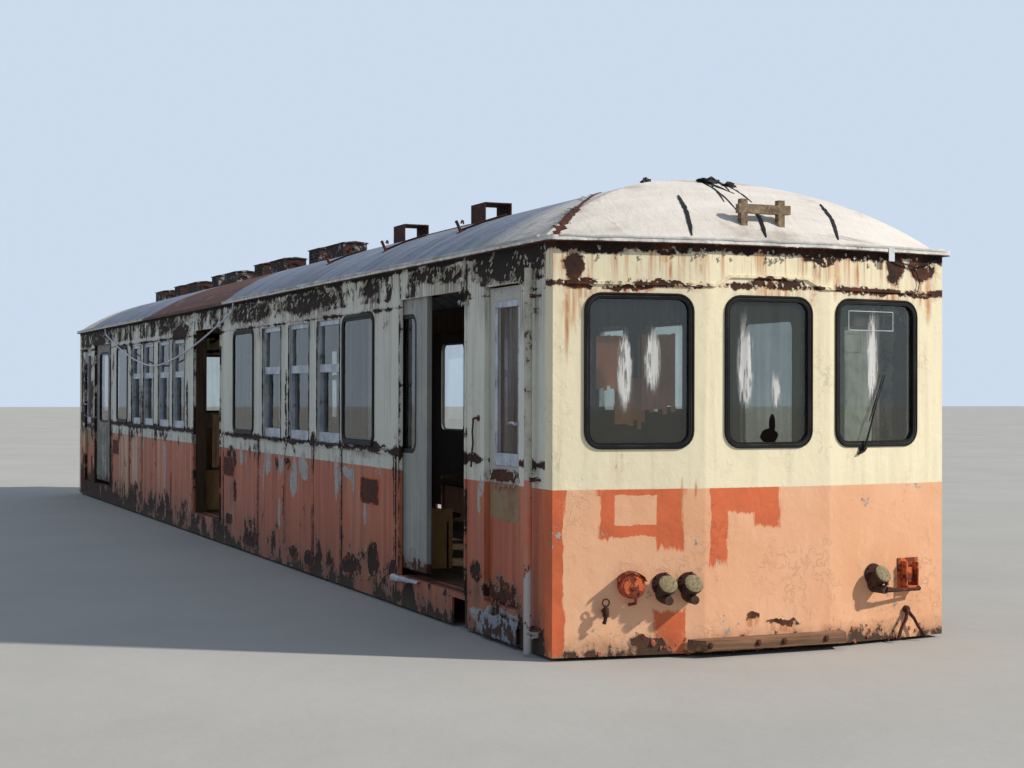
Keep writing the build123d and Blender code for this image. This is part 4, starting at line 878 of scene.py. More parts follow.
def fixed_pane_rubbers(sealant):
    # A rounded outer lip and the paler filler strip in its groove, round every fixed pane, and old
    # sealant round and under the side ones.
    lips, fillers = Piece(), Piece()
    for group in islands("window_rubbers"):
        wall = wall_of(group)
        edges = wall.span(group)
        on_end = abs(group[0].x) > HALF - 0.05
        radius = END_WINDOW_RADIUS if on_end else SIDE_WINDOW_RADIUS
        lips.tube(rounded(wall, edges, radius, 0.002, 0.004), 0.008, 8, True, wall.out)
        lips.tube(rounded(wall, edges, radius, 0.025, 0.003), 0.005, 6, True, wall.out)
        fillers.tube(rounded(wall, edges, radius, 0.014, 0.0065), 0.0032, 6, True, wall.out)
        if not on_end:
            low, high, bottom, _ = edges
            ring = rounded(wall, edges, radius, -0.006, 0.001, 8)
            sizes = [0.010 + 0.006 * wobble(i * 0.45, low, 8) for i in range(len(ring))]
            sealant.tube(ring, sizes, 6, True, wall.out)
            sill = list(enumerate(spread(low + 0.03, high - 0.03, 26)))
            spots = [wall.at(a, bottom - 0.006 + 0.006 * wobble(i * 0.9, low), 0.004) for i, a in sill]
            sealant.tube(spots, [0.009 + 0.007 * wobble(i * 0.7, low, 3) for i, _ in sill], 6)
    lips.make("window_rubber_lips", "rubber")
    fillers.make("window_rubber_fillers", "filler")


def sash_sealant(sealant):
    # Old black sealant squeezed out along the sills and up the sides of the sash windows.
    for group in islands("sash_frames"):
        wall = wall_of(group)
        low, high, bottom, top = wall.span(group)
        if high - low < SMALLEST_SASH or top - bottom < SMALLEST_SASH:
            continue
        sill = bottom - 0.004
        sides = [((a, bottom), (a, top)) for a in (low, high)]
        for start, end in [((low - 0.02, sill), (high + 0.02, sill))] + sides:
            upright = start[0] == end[0]
            thick = 0.005 if upright else 0.010
            spots, sizes = [], []
            for i in range(31):
                a, z = part_way(start, end, i / 30)
                shake = 0.004 * wobble(i * 0.8, low * 3, z)
                spots.append(wall.at(a + (shake if upright else 0), z + (0 if upright else shake), 0.001))
                sizes.append(max(0.002, thick * (1 + 1.1 * wobble(i * 0.6, low * 5, z * 2 + 7))))
            sealant.tube(spots, sizes, 6)


def window_trim():
    sealant = Piece()
    fixed_pane_rubbers(sealant)
    sash_sealant(sealant)
    sealant.make("window_sealant", "tar")


def leaves(kind):
    # Of each leaf of a kind: its name, its wall, the edges of its glass and how far out it stands.
    for name in [n for n in nodes if n.startswith(kind + "_glass")]:
        leaf = name.replace("_glass", "")
        points = [v.co for v in nodes[name].data.vertices]
        on_right = points[0].y < 0
        wall = SIDES[0 if on_right else 1]
        face = abs(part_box(leaf)[0][1] if on_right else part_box(leaf)[1][1]) - WIDE
        yield leaf, wall, wall.span(points), face


def sliding_leaf_rubbers():
    # A flat black rubber ring round each pane, under a millimetre proud of the leaf.
    for leaf, wall, edges, face in leaves("sliding_door"):
        section = [(-0.021, -0.004), (-0.020, 0.0008), (0.009, 0.0008), (0.011, -0.012)]
        rings = [rounded(wall, edges, LEAF_WINDOW_RADIUS, inset, face + out) for inset, out in section]
        ring = Piece()
        ring.loft(rings, loop=True)
        ring.make(leaf + "_rubber", "rubber", leaf)


LIGHT_SIDE, LIGHT_SILL, LIGHT_PROUD = 0.038, 0.076, 0.008
HANDLE_HIGH, HANDLE_IN, HANDLE_OUT, HANDLE_LONG = 1.297, 0.022, 0.046, 0.105


def crew_door_fittings():
    # An aluminium drop-light frame, and a lever handle on the side away from the hinges.
    for leaf, wall, (low, high, bottom, top), face in leaves("crew_door"):
        rear, front = low - LIGHT_SIDE, high + LIGHT_SIDE
        bars = [(rear, low, bottom, top), (high, front, bottom, top)]
        bars += [(rear, front, top, top + LIGHT_SIDE), (rear, front, bottom - LIGHT_SILL, bottom)]
        light = slabs(wall, *[bar + (face - 0.004, face + LIGHT_PROUD) for bar in bars])
        light.make(leaf + "_light_frame", "aluminium", leaf, bevel=0.003)
        leaf_span = wall.span([Vector(c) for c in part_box(leaf)])
        outer = 1 if low > 0 else -1
        pivot = (leaf_span[1] if outer > 0 else leaf_span[0]) - outer * HANDLE_IN
        handle = Piece()
        rose = [(0.024, 0.0), (0.024, 0.004), (0.010, 0.007), (0.008, HANDLE_OUT)]
        handle.lathe(wall.at(pivot, HANDLE_HIGH, face), wall.out, rose)
        lever = [(-outer * HANDLE_LONG * t, 0.008 * math.sin(3 * t), face + HANDLE_OUT - 0.006 * t)
                 for t in (0, 0.25, 0.6, 0.9, 1.0)]
        handle.tube(wall.path(lever, pivot, HANDLE_HIGH), [0.010, 0.008, 0.007, 0.009, 0.006])
        handle.make(leaf + "_handle", "aluminium", leaf)


# The torn strip's place along the front doorway, and how far its lip hangs at each end.
TORN_LOW, TORN_HIGH, TORN_LIP_LOW, TORN_LIP_HIGH = 5.646, 6.197, 0.044, 0.014
# The doorway mouldings: how far off the doorway they stand, and how far under the eave they end.
MOULDING_OFF, MOULDING_DROP = 0.012, 0.24


def doorway_trim():
    # A half-round moulding up each edge, and a worn metal strip along each threshold.
    mouldings, thresholds = Piece(), Piece()
    for low, high in DOORWAYS:
        for edge in (low - MOULDING_OFF, high + MOULDING_OFF):
            heights = spread(FLOOR, EAVE - MOULDING_DROP, 24)
            sizes = [0.011 + 0.0015 * wobble(z * 9, edge) for z in heights]
            mouldings.tube([RIGHT.at(edge, z, 0.002) for z in heights], sizes)
        thresholds.slab(RIGHT, low + 0.01, high - 0.01, FLOOR, FLOOR + 0.004, -0.070, -0.030)
    mouldings.twice().make("doorway_mouldings", "side")
    thresholds.twice().make("threshold_strips", "rust", bevel=0.0015)


def torn_threshold_strip():
    section = ((-0.012, 0.0), (0.012, 0.0), (0.022, 0.2), (0.025, 1.0))
    rows = []
    for i, along in enumerate(spread(TORN_LOW, TORN_HIGH, 14)):
        height, lip = FLOOR - 0.004 + 0.006 * wobble(i * 0.5), between(TORN_LIP_LOW, TORN_LIP_HIGH, i / 14)
        rows.append([RIGHT.at(along, height - drop * lip, out) for out, drop in section])
    one_sheet(rows).make("torn_threshold_strip", "strip", sheet=0.002)


def head(piece, foot, way, radius):
    piece.lathe(foot, way, [(radius, -0.001), (radius * 0.92, radius * 0.35), (radius * 0.45, radius * 0.62)], 7)


SCREW_LOW, SCREW_GAP, SCREWS_UP = 0.28, 0.12, 7
BEAD_HIGH, BEAD_PROUD, BEAD_GAP = 2.072, 0.009, 0.24


def screw_heads():
    # Along the cover strips and the bead over the windows.
    heads = Piece()
    for seam in SEAMS:
        for step in range(SCREWS_UP):
            head(heads, RIGHT.at(seam, SCREW_LOW + SCREW_GAP * step, COVER_PROUD), RIGHT.out, 0.0055)
    for step in range(60):
        for (_, bay_low), (bay_high, _) in zip(DOORWAYS, DOORWAYS[1:]):
            along = bay_low + 0.15 + BEAD_GAP * step
            if along < bay_high - 0.05:
                head(heads, RIGHT.at(along, BEAD_HIGH, BEAD_PROUD), RIGHT.out, 0.0040)
    heads.twice().make("screw_heads", "rust")


BAULK_BOLTS, BAULK_BOLT_HIGH = (-0.43, -0.12, 0.05, 0.33), 0.072


def bolt_heads():
    # On the baulks and on the roof's box frames.
    bolts = Piece()
    bolt = [(0.020, -0.001), (0.020, 0.003), (0.012, 0.003), (0.012, 0.012), (0.008, 0.014)]
    for across in BAULK_BOLTS:
        bolts.lathe(Vector((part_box("buffer_timbers")[1][0], across, BAULK_BOLT_HIGH)), (1, 0, 0), bolt, 6)
    bolts.twice()
    for group in islands("roof_box_frames"):
        low, high = corners(group)
        for x in (low.x + 0.03, high.x - 0.03):
            for y in (low.y + 0.025, high.y - 0.025):
                head(bolts, Vector((x, y, high.z - 0.001)), UP, 0.009)
            for side, y in ((-1, low.y), (1, high.y)):
                for z in (high.z - 0.03, high.z - 0.12):
                    head(bolts, Vector((x, y, z)), (0, side, 0), 0.008)
    bolts.make("bolt_heads", "rust")


# Jumper sockets on the ends: the drum's place and face, and the necks' walls, places and tilt.
DRUM_AT, DRUM_FACE, SOCKET_HIGH = 0.446, 0.074, 0.410
NECKS, NECK_TILT = [(END_RIGHT, 0.643), (END_RIGHT, 0.795), (END_LEFT, 0.562)], math.radians(33)


def round_socket(wall, along, radius, degrees, out):
    t = math.radians(degrees)
    return wall.at(along + radius * math.cos(t), SOCKET_HIGH + radius * math.sin(t), out)


def socket_hood():
    rows = []
    for i in range(15):
        radius, rim = 0.078 + 0.006 * wobble(i * 1.7), 0.088 + 0.010 * wobble(i * 2.3, 4)
        rows.append([round_socket(END_RIGHT, DRUM_AT, radius, 20 + 10 * i, out) for out in (0.004, 0.062, rim)])
    one_sheet(rows).make("socket_hood", "ochre", sheet=0.004)


def drum_cover():
    cover = Piece()
    lid = [(0.060, 0), (0.058, 0.005), (0.022, 0.007), (0.018, 0.014)]
    lug = [(0.009, 0), (0.009, 0.008), (0.005, 0.011)]
    cover.lathe(END_RIGHT.at(DRUM_AT, SOCKET_HIGH, DRUM_FACE), END_RIGHT.out, lid, 18)
    for degrees in (70, 190, 310):
        cover.lathe(round_socket(END_RIGHT, DRUM_AT, 0.050, degrees, DRUM_FACE), END_RIGHT.out, lug, 6)
    catch = [(0.02, -0.060, 0.06), (0.02, -0.095, 0.05), (-0.01, -0.105, 0.02)]
    cover.tube(END_RIGHT.path(catch, DRUM_AT, SOCKET_HIGH), 0.010)
    cover.twice().make("drum_cover", "ochre")


def socket_caps(ironwork):
    # A pale cap on each neck, and its hinge, flange and bolts in the ironwork.
    caps = Piece()
    cap = [(0.053, 0.0), (0.053, 0.004), (0.046, 0.008), (0.030, 0.010), (0.010, 0.011)]
    for wall, along in NECKS:
        way = wall.out * math.cos(NECK_TILT) + UP * math.sin(NECK_TILT)
        centre = wall.at(along, SOCKET_HIGH, 0.072) + way * 0.019
        caps.lathe(centre, way, cap, 24)
        ironwork.tube([centre + way.cross(wall.along) * r - way * (r - 0.05) / 2 for r in (0.050, 0.070)], 0.012)
        ironwork.lathe(wall.at(along, SOCKET_HIGH), wall.out, [(0.066, 0), (0.066, 0.008), (0.050, 0.012)], 20)
        for degrees in (45, 135, 225, 315):
            foot = round_socket(wall, along, 0.057, degrees, 0.006)
            ironwork.lathe(foot, wall.out, [(0.009, 0), (0.009, 0.007), (0.004, 0.009)], 6)
    caps.twice().make("socket_caps", "cap")


COCK_AT, COCK_HIGH, LEGS_AT = 0.293, 0.272, 0.303


def end_ironwork(ironwork):
    # a hose arm
    arm = [(0.555, 0.330, 0.10), (0.47, 0.322, 0.095), (0.38, 0.318, 0.08), (0.27, 0.312, 0.060), (0.245, 0.318, 0.056)]
    ironwork.tube(END_LEFT.path(arm), [0.020, 0.012, 0.010, 0.010, 0.016])
    # a drain cock with a ring
    ironwork.tube(END_RIGHT.path([(0, 0, 0), (0, 0, 0.045)], COCK_AT, COCK_HIGH), 0.011)
    plug = [(0.010, 0), (0.018, 0.006), (0.020, 0.030), (0.016, 0.052), (0.008, 0.060)]
    ironwork.lathe(END_RIGHT.at(COCK_AT, COCK_HIGH - 0.030, 0.050), UP, plug, 12)
    ring = circle(END_RIGHT.at(COCK_AT, COCK_HIGH + 0.052, 0.052), END_RIGHT.along, UP, 0.020, turns(14))
    ironwork.tube(ring, 0.0045, 6, True, END_RIGHT.out)
    spout = [(0, -0.02, 0.052), (-0.006, -0.045, 0.058), (-0.010, -0.062, 0.050)]
    ironwork.tube(END_RIGHT.path(spout, COCK_AT, COCK_HIGH), [0.011, 0.010, 0.012])
    # two legs that spread from a boss
    for reach in (-0.106, 0.113):
        leg = [(reach * t, -0.158 * t, 0.020 + 0.045 * t + 0.010 * math.sin(6 * t)) for t in (0, 0.3, 0.6, 1.0)]
        ironwork.tube(END_LEFT.path(leg, LEGS_AT, 0.183), [0.013, 0.010, 0.009, 0.011])
    ironwork.lathe(END_LEFT.at(LEGS_AT, 0.190), END_LEFT.out, [(0.022, 0), (0.022, 0.020), (0.014, 0.030)], 10)


def end_fittings():
    ironwork = Piece()
    socket_hood()
    drum_cover()
    socket_caps(ironwork)
    end_ironwork(ironwork)
    ironwork.twice().make("end_ironwork", "plate")


def hose_hook_plates():
    # Each row: along from and to, height from and to, out from and to.
    slabs(
        END_LEFT, (0.206, 0.369, 0.303, 0.497, 0.0, 0.006), (0.330, 0.342, 0.310, 0.480, 0.006, 0.052),
        (0.236, 0.248, 0.330, 0.470, 0.006, 0.046), (0.236, 0.342, 0.318, 0.332, 0.006, 0.052),
        (0.262, 0.306, 0.350, 0.440, 0.006, 0.022),
    ).twice().make("hose_hook_plates", "ochre", bevel=0.002)


WIPER_FOOT, WIPER_TIP = (0.648, 1.158), (0.475, 1.589)


def window_wipers():
    wiper = Piece()
    spindle = [(0.026, 0), (0.026, 0.010), (0.012, 0.014), (0.012, 0.030)]
    wiper.lathe(END_LEFT.at(*WIPER_FOOT), END_LEFT.out, spindle, 12)
    elbow = part_way(WIPER_FOOT, WIPER_TIP, 0.62, 0.66)
    bend = part_way(WIPER_FOOT, elbow, 0.3, 0.34)
    wiper.tube(END_LEFT.path([(*WIPER_FOOT, 0.024), (*bend, 0.026), (*elbow, 0.016)]), [0.008, 0.006, 0.004], 6)
    for shift in (0.0, 0.012):
        blade = [(*part_way(WIPER_FOOT, WIPER_TIP, t), 0.010 - shift * 0.3) for t in (0.36, 0.6, 0.8, 1.0)]
        wiper.tube(END_LEFT.path(blade, shift), [0.003, 0.004, 0.0035, 0.0025], 6)
    stub = [(0, 0, 0.012), (0.012, -0.020, 0.012), (0.040, -0.034, 0.012)]
    wiper.tube(END_LEFT.path(stub, *WIPER_FOOT), [0.010, 0.012, 0.006], 7)
    wiper.twice().make("window_wipers", "tar")


# On the left facet: a tab's box, a cable's places along and up, and the edges of a frame of tape.
TAB = (0.437, 0.483, 2.262, GUTTER_TOP, 0.046, 0.049)
CABLE_HUNG = GUTTER_LOW - 0.01
CABLE = [(0.47, CABLE_HUNG), (0.36, 2.262), (0.24, 2.236), (0.13, 2.262), (0.03, CABLE_HUNG)]
CABLE_END = [(0.24, 2.238), (0.20, 2.15), (0.215, 2.09)]
TAPE_EDGES, TAPE_WIDE = (0.392, 0.745, 1.850, 1.966), 0.004


def gutter_tab():
    slabs(END_LEFT, TAB).make("gutter_tab", "white_board", bevel=0.001)


def loose_cable():
    cable = Piece()
    cable.tube([END_LEFT.at(a, z, 0.014 + 0.006 * wobble(a * 9)) for a, z in CABLE], 0.004, 6)
    cable.tube([END_LEFT.at(a, z, 0.012) for a, z in CABLE_END], 0.003, 6)
    cable.make("loose_cable", "tar")


def tape_frame_on_pane():
    low, high, bottom, top = TAPE_EDGES
    bars = [(low, high, top - TAPE_WIDE, top), (low, high, bottom, bottom + TAPE_WIDE)]
    bars += [(low, low + TAPE_WIDE, bottom, top), (high - TAPE_WIDE, high, bottom, top)]
    slabs(END_LEFT, *[bar + (-0.0118, -0.0105) for bar in bars]).make("tape_frame_on_pane", "white_board")


# Clips that hold the downpipes, by their places up the wall, the pipes' radius, and the height that
# a whole pipe reaches past.
PIPE_CLIPS, PIPE_RADIUS, PIPE_REACHES = (2.02, 0.99, 0.16), 0.023, 1.2


def downpipe_clips():
    clips = Piece()
    for group in islands("downpipes"):
        tall = [p for p in group if p.z > PIPE_REACHES]
        if not tall:
            continue
        low, high = corners(tall)
        centre = Vector(((low.x + high.x) / 2, (low.y + high.y) / 2, 0))
        reach = (high.x - low.x) / 2 if high.x - low.x < 0.06 else PIPE_RADIUS
        inward = -1 if centre.y > 0 else 1
        for z in PIPE_CLIPS:
            for shift in (-0.006, 0.006):
                middle = centre + UP * (z + shift)
                ring = circle(middle, Vector((1, 0, 0)), Vector((0, 1, 0)), reach + 0.002, turns(16))
                clips.tube(ring, 0.005, 6, True, UP)
            for side in (-1, 1):
                foot = [(reach, 0.004), (reach + 0.022, 0.028), (reach + 0.045, 0.030)]
                clips.tube([centre + Vector((side * a, inward * b, z)) for a, b in foot], [0.006, 0.006, 0.008], 6)
    clips.make("downpipe_clips", "rust")


ROD_AT, ROD_TOP, ROD_FOOT, ROD_BOSS = 7.193, 1.311, 1.023, (7.238, 1.323)


def doorway_rods():
    # A loose rod by the front doorway.
    rod = Piece()
    hung = [(ROD_AT - 0.031 * t, between(ROD_TOP, ROD_FOOT, t), 0.018 + 0.004 * math.sin(9 * t))
            for t in spread(0, 1, 4)]
    rod.tube(RIGHT.path(hung), 0.006, 7)
    eye = [(0.045, 0.012, 0.0), (0.030, 0.012, 0.022), (0.0, 0.004, 0.020)]
    rod.tube(RIGHT.path(eye, ROD_AT, ROD_TOP), 0.008, 7)
    rod.lathe(RIGHT.at(*ROD_BOSS), RIGHT.out, [(0.020, 0), (0.018, 0.005), (0.010, 0.008)], 10)
    rod.twice().make("doorway_rods", "rust")


HATCHES, HATCH_HALF, HATCH_LOW, HATCH_HIGH = (5.12, 0.82, -5.34), 0.19, 0.684, 0.849


def side_hatches():
    hatches, rims = Piece(), Piece()
    for middle in HATCHES:
        edges = (middle - HATCH_HALF, middle + HATCH_HALF, HATCH_LOW, HATCH_HIGH)
        hatches.slab(RIGHT, *edges, -0.002, 0.0025)
        rims.tube(rounded(RIGHT, edges, 0.010, -0.006, 0.002, 3), 0.0055, 6, True, RIGHT.out)
    hatches.twice().make("side_hatches", "rust", bevel=0.002)
    rims.twice().make("side_hatch_rims", "ochre")


SHEET_FROM, SHEET_TO, SHEET_FOOT, SHEET_TOP = 7.284, 7.884, 0.027, 0.165


def crumpled_foot_sheet():
    last, grid = 7, []
    for i, a in enumerate(spread(SHEET_FROM, SHEET_TO, 18)):
        row = []
        for j, z in enumerate(spread(SHEET_FOOT, SHEET_TOP, last)):
            ragged = 0.020 * wobble(i * 0.7, j * 0.9, 5) if j in (0, last) else 0
            out = 0.010 + 0.014 * abs(wobble(i * 0.30, j * 0.35)) + 0.008 * (1 - j / last)
            row.append(RIGHT.at(a, max(0.022, z + ragged), out))
        grid.append(row)
    one_sheet(grid).make("crumpled_foot_sheet", "primer", sheet=0.002, sharp=25)


# Roof: what lies on it is laid down by rays cast at its surface.
def tree_of(*names):
    verts, faces = [], []
    for name in names:
        mesh, start = nodes[name].data, len(verts)
        verts += [v.co.copy() for v in mesh.vertices]
        faces += [tuple(start + i for i in face.vertices) for face in mesh.polygons]
    return BVHTree.FromPolygons(verts, faces)


roof = tree_of("roof_main", "roof_domes")
ABOVE_ROOF = 4


def on_roof(x, y, lift=0.0):
    spot, normal, _, _ = roof.ray_cast(Vector((x, y, ABOVE_ROOF)), Vector((0, 0, -1)))
    if spot is None:
        return Vector((x, y, EAVE)), UP
    normal = normal if normal.z > 0 else -normal
    return spot + normal * lift, normal


def roof_strip(piece, path, width, thick, steps, shake, seed):
    # A flat strip laid on the roof along x, y points, ragged and thinner toward its ends.
    spots = []
    for t in spread(0, len(path) - 1, steps):
        k = min(int(t), len(path) - 2)
        spots.append(part_way(path[k], path[k + 1], t - k))
    rings = []
    for i, (x, y) in enumerate(spots):
        ahead, behind = spots[min(i + 1, steps)], spots[max(i - 1, 0)]
        foot, normal = on_roof(x, y)
        side = Vector((ahead[0] - behind[0], ahead[1] - behind[1], 0)).cross(normal).normalized()
        taper = min(1.0, 0.25 + 4 * i / steps, 0.25 + 4 * (steps - i) / steps)
        left, right = [width / 2 * taper * (1 + shake * 2 * wobble(i * 0.9, seed, row)) for row in (1, 9)]
        top = normal * thick * (1 + 0.6 * wobble(i * 0.8, seed, 5))
        low = [foot - side * left - normal * 0.004, foot + side * right - normal * 0.004]
        rings.append(low + [foot + side * right * 0.8 + top, foot - side * left * 0.8 + top])
    piece.loft(rings)


STRAPS = [
    ((8.075, -0.386), (8.26, -0.43), (8.441, -0.495)), ((8.20, 0.045), (8.33, 0.015), (8.470, -0.031)),
    ((8.052, 0.605), (8.25, 0.56), (8.428, 0.483)),
]
SEAM_PATHS = [
    ([(8.272, -1.275), (8.134, -1.076), (7.72, -0.78), (7.25, -0.48)], 0.036, 0.005, 44, 0.9, 2.0),
    ([(8.30, -1.295), (8.16, -1.13), (7.95, -0.99)], 0.050, 0.004, 24, 0.9, 8.0),
]


def straps_and_seams():
    # Tarred straps on the domes, and the torn seam between dome and roof.
    straps, rotten = Piece(), Piece()
    for i, path in enumerate(STRAPS):
        roof_strip(straps, path, 0.026, 0.007, 16, 0.3, i * 3.0)
    straps.twice().make("dome_straps", "tar")
    for path in SEAM_PATHS:
        roof_strip(rotten, *path)
    rotten.twice().make("rotten_seams", "rust", sharp=25)


ROLL_BACK, ROLL_STEP = 0.006, 0.11
# Between these places the rolled edge has been torn off the right side.
ROLL_GONE = (-3.3, 0.75)


def end_out(y):
    # How far forward the gutter's rim stands at this distance across.
    bow = BOW if abs(y) < FACET_HALF else BOW * (WIDE - abs(y)) / (WIDE - FACET_HALF)
    return HALF + bow + GUTTER_OUT - WIDE - ROLL_BACK


def rolled_canvas_edge():
    rolled = Piece()
    reach, height = GUTTER_OUT - ROLL_BACK, GUTTER_TOP - 0.001
    along = [-HALF + 0.05 + i * ROLL_STEP for i in range(int((2 * HALF - 0.1) / ROLL_STEP) + 1)]
    across = [-1.28 + 0.08 * i for i in range(33)]
    for run in ([x for x in along if x < ROLL_GONE[0]], [x for x in along if x > ROLL_GONE[1]]):
        spots = [(x, -reach + 0.004 * wobble(x * 4), height + 0.005 * wobble(x * 3, 7)) for x in run]
        rolled.tube(spots, [0.011 + 0.004 * wobble(x * 6, 3) for x in run])
    front = [(end_out(y), y, height + 0.004 * wobble(y * 5, 2)) for y in across]
    rolled.tube(front, [0.011 + 0.003 * wobble(y * 7, 5) for y in across])
    left = [(-x, reach + 0.004 * wobble(-x * 4, 3), height) for x in along]
    rolled.tube(left, [0.011 + 0.004 * wobble(-x * 6, 8) for x in along])
    rear = [(-end_out(y), y, height + 0.004 * wobble(y * 5, 4)) for y in across]
    rolled.tube(rear, [0.011 + 0.003 * wobble(y * 7, 6) for y in across])
    rolled.make("rolled_canvas_edge", "canvas_flake")


# Knots of rag round the old lamp bracket: x, y, half width, half height and a seed for their lumps.
RAGS = [(7.78, -0.02, 0.075, 0.030, 1), (7.86, 0.08, 0.045, 0.022, 5), (7.62, -0.36, 0.035, 0.030, 9)]


def torn_tarred_rags():
    rags = Piece()
    for x, y, long, high, seed in RAGS:
        foot, _ = on_roof(x, y)
        rings = []
        for t in turns(24)[:13]:
            ring = []
            for p in turns(20):
                way = Vector((math.sin(t) * math.cos(p), math.sin(t) * math.sin(p), math.cos(t)))
                lump = 1 + 0.75 * noise.noise(way * 2.2 + Vector((seed, 0, 0)))
                ring.append(foot + Vector((way.x * long * 0.55, way.y * long, way.z * high)) * max(lump, 0.25))
            rings.append(ring)
        rags.loft(rings)
    for i in range(7):
        start = (7.76 + 0.05 * random.random(), -0.08 + 0.16 * random.random())
        end = (start[0] + 0.15 + 0.35 * random.random(), start[1] + 0.20 * (random.random() - 0.4))
        roof_strip(rags, [start, part_way(start, end, 0.5, 0.3), end], 0.009, 0.004, 12, 0.9, i * 2.0)
    rags.make("torn_tarred_rags", "tar", sharp=60)


HOOKS = [(4.484, -0.965), (5.962, -0.924), (2.95, -0.95)]
VENTILATOR_LONG, ROD_BEND, ROD_FOOT_HIGH = 0.5, 0.055, 0.060


def roof_hooks():
    # Hooks along the right of the roof, and a bent rod before each ventilator.
    hooks = Piece()
    post = [(0.034, 0), (0.034, 0.008), (0.012, 0.012), (0.010, 0.075), (0.014, 0.080), (0.006, 0.090)]
    bend = [(0.060, 0.0), (0.078, 0.022), (0.070, 0.044), (0.050, 0.046)]
    for x, y in HOOKS:
        foot, normal = on_roof(x, y)
        hooks.lathe(foot - normal * 0.004, normal, post, 10)
        hooks.tube([foot + UP * h + Vector((d, 0, 0)) for h, d in bend], 0.006, 6)
        inner, _ = on_roof(x + 0.185, y + 0.265, 0.010)
        hooks.tube([foot + UP * 0.012, (foot + inner) / 2 + normal * 0.012, inner], 0.008, 6)
    for group in islands("roof_ventilators"):
        low, high = corners(group)
        if high.x - low.x > VENTILATOR_LONG:
            middle, foot = between(low.y, high.y, 0.5), low.z + ROD_FOOT_HIGH
            rod = [(high.x + 0.012 * math.sin(t), middle - ROD_BEND * math.cos(t), foot + ROD_BEND * math.sin(t))
                   for t in turns(20)[:11]]
            hooks.tube(rod, 0.006, 6)
    hooks.make("roof_hooks", "rust")


# Flakes: small curled scales of paint and canvas round the places that have peeled.
def flake(piece, foot, down, out, size, curl):
    side = down.cross(out).normalized()
    lean = random.uniform(-0.5, 0.5)
    grid = []
    for t in (0, 1 / 3, 2 / 3, 1):
        half = size * (0.5 - 0.22 * t) * random.uniform(0.75, 1.25)
        spot = foot + down * (size * t) + side * (lean * size * t) + out * (0.0012 + curl * t * t)
        middle = spot + side * half * random.uniform(0.2, 0.5) + out * curl * 0.15 * t
        grid.append([spot - side * half, middle, spot + side * half])
    piece.sheet(grid)


def paint_flakes():
    cream_flakes, orange_flakes = Piece(), Piece()
    uniform = random.uniform

    def scatter(wall, along, height, size):
        piece = cream_flakes if height > SPLIT else orange_flakes
        down = (Vector((0, 0, -1)) + wall.along * uniform(-0.6, 0.6)).normalized()
        flake(piece, wall.at(along, height), down, wall.out, size, size * uniform(0.10, 0.45))

    for wall in SIDES:
        for along, up, half_long, half_high in SIDE_PEELS:
            for _ in range(int(14 * (half_long + half_high) / 0.25) + 4):
                t, share = uniform(0, 2 * math.pi), uniform(0.85, 1.12)
                z = up + half_high * math.sin(t) * share
                if 0.03 < z < GUTTER_LOW - 0.01:
                    scatter(wall, along + half_long * math.cos(t) * share, z, uniform(0.012, 0.034))
        for _ in range(240):
            scatter(wall, uniform(-HALF + 0.1, HALF - 0.1), uniform(2.20, 2.30), uniform(0.014, 0.040))
        for seam in SEAMS:
            for _ in range(10):
                along = seam + random.choice((-0.024, 0.024))
                scatter(wall, along, uniform(0.15, 1.03), uniform(0.010, 0.024))
    facet = (0.05, FACET.length)
    for wall, reach in ((END_RIGHT, facet), (END_MIDDLE, (-FACET_HALF, FACET_HALF)), (END_LEFT, facet)):
        for face in (wall, wall.turned()):
            for _ in range(46):
                along, heights = uniform(*reach), (uniform(2.23, 2.30), uniform(2.08, 2.12), uniform(0.03, 0.12))
                scatter(face, along, random.choice(heights), uniform(0.010, 0.028))
    cream_flakes.make("cream_paint_flakes", "cream_flake", sheet=0.0012)
    orange_flakes.make("orange_paint_flakes", "orange_flake", sheet=0.0012)


# The stretch of the dome's seam that the torn canvas flakes lie along, as x, y points.
TORN_FROM, TORN_TO = (8.28, -1.26), (7.25, -0.48)


def torn_canvas_flakes():
    flakes = Piece()
    for _ in range(44):
        x, y = [v + random.uniform(-0.05, 0.05) for v in part_way(TORN_FROM, TORN_TO, random.uniform(0, 1))]
        for turn in (1, -1):
            foot, normal = on_roof(x * turn, y * turn)
            down = Vector((-y, x, 0)).normalized() * random.choice((-1, 1))
            flake(flakes, foot, down, normal, random.uniform(0.015, 0.035), random.uniform(0.001, 0.004))
    flakes.make("torn_canvas_flakes", "canvas_flake", sheet=0.0020)


# Boards propped behind the right end pane: along from and to, height from and to, out, and a seed.
BOARDS_IN = [
    (0.30, 0.47, 1.50, 1.80, -0.16, 1), (0.56, 0.76, 1.38, 1.81, -0.13, 4), (0.42, 0.60, 1.30, 1.56, -0.19, 7),
]
# A near-black sheet low behind the right end pane stands in for the dim cab there: painted shade.
# The dark sheet's row is along from and to, height from and to; the locker's has out from and to also.
SHADE_SHEET, SHADE_SHEET_OUT = (0.22, 0.86, 1.08, 1.40), (-0.246, -0.240)
LOCKER = (0.44, 0.66, 1.05, 1.88, -0.34, -0.14)


def pieces_behind_panes():
    boards_in, shade_sheet_in = Piece(), Piece()
    for low, high, bottom, top, out, seed in BOARDS_IN:
        places = spread(low, high, 8)
        for i, (a, b) in enumerate(zip(places, places[1:])):
            drop, rise = 0.05 * wobble(i * 0.9, seed), 0.02 * wobble(i * 0.5, seed, 3)
            boards_in.slab(END_RIGHT, a, b, bottom + drop, top + rise, out, out + 0.006)
    boards_in.make("boards_behind_pane", "board")
    # a near-black sheet behind the lower part of the right pane: painted shade
    low, high, bottom, top = SHADE_SHEET
    places = spread(low, high, 12)
    for i, (a, b) in enumerate(zip(places, places[1:])):
        shade_sheet_in.slab(END_RIGHT, a, b, bottom, top + 0.05 * wobble(i * 0.8, 11), *SHADE_SHEET_OUT)
    shade_sheet_in.make("dark_board_behind_pane", "tar")
    slabs(END_LEFT, LOCKER).make("cab_locker", "white_board", bevel=0.004)


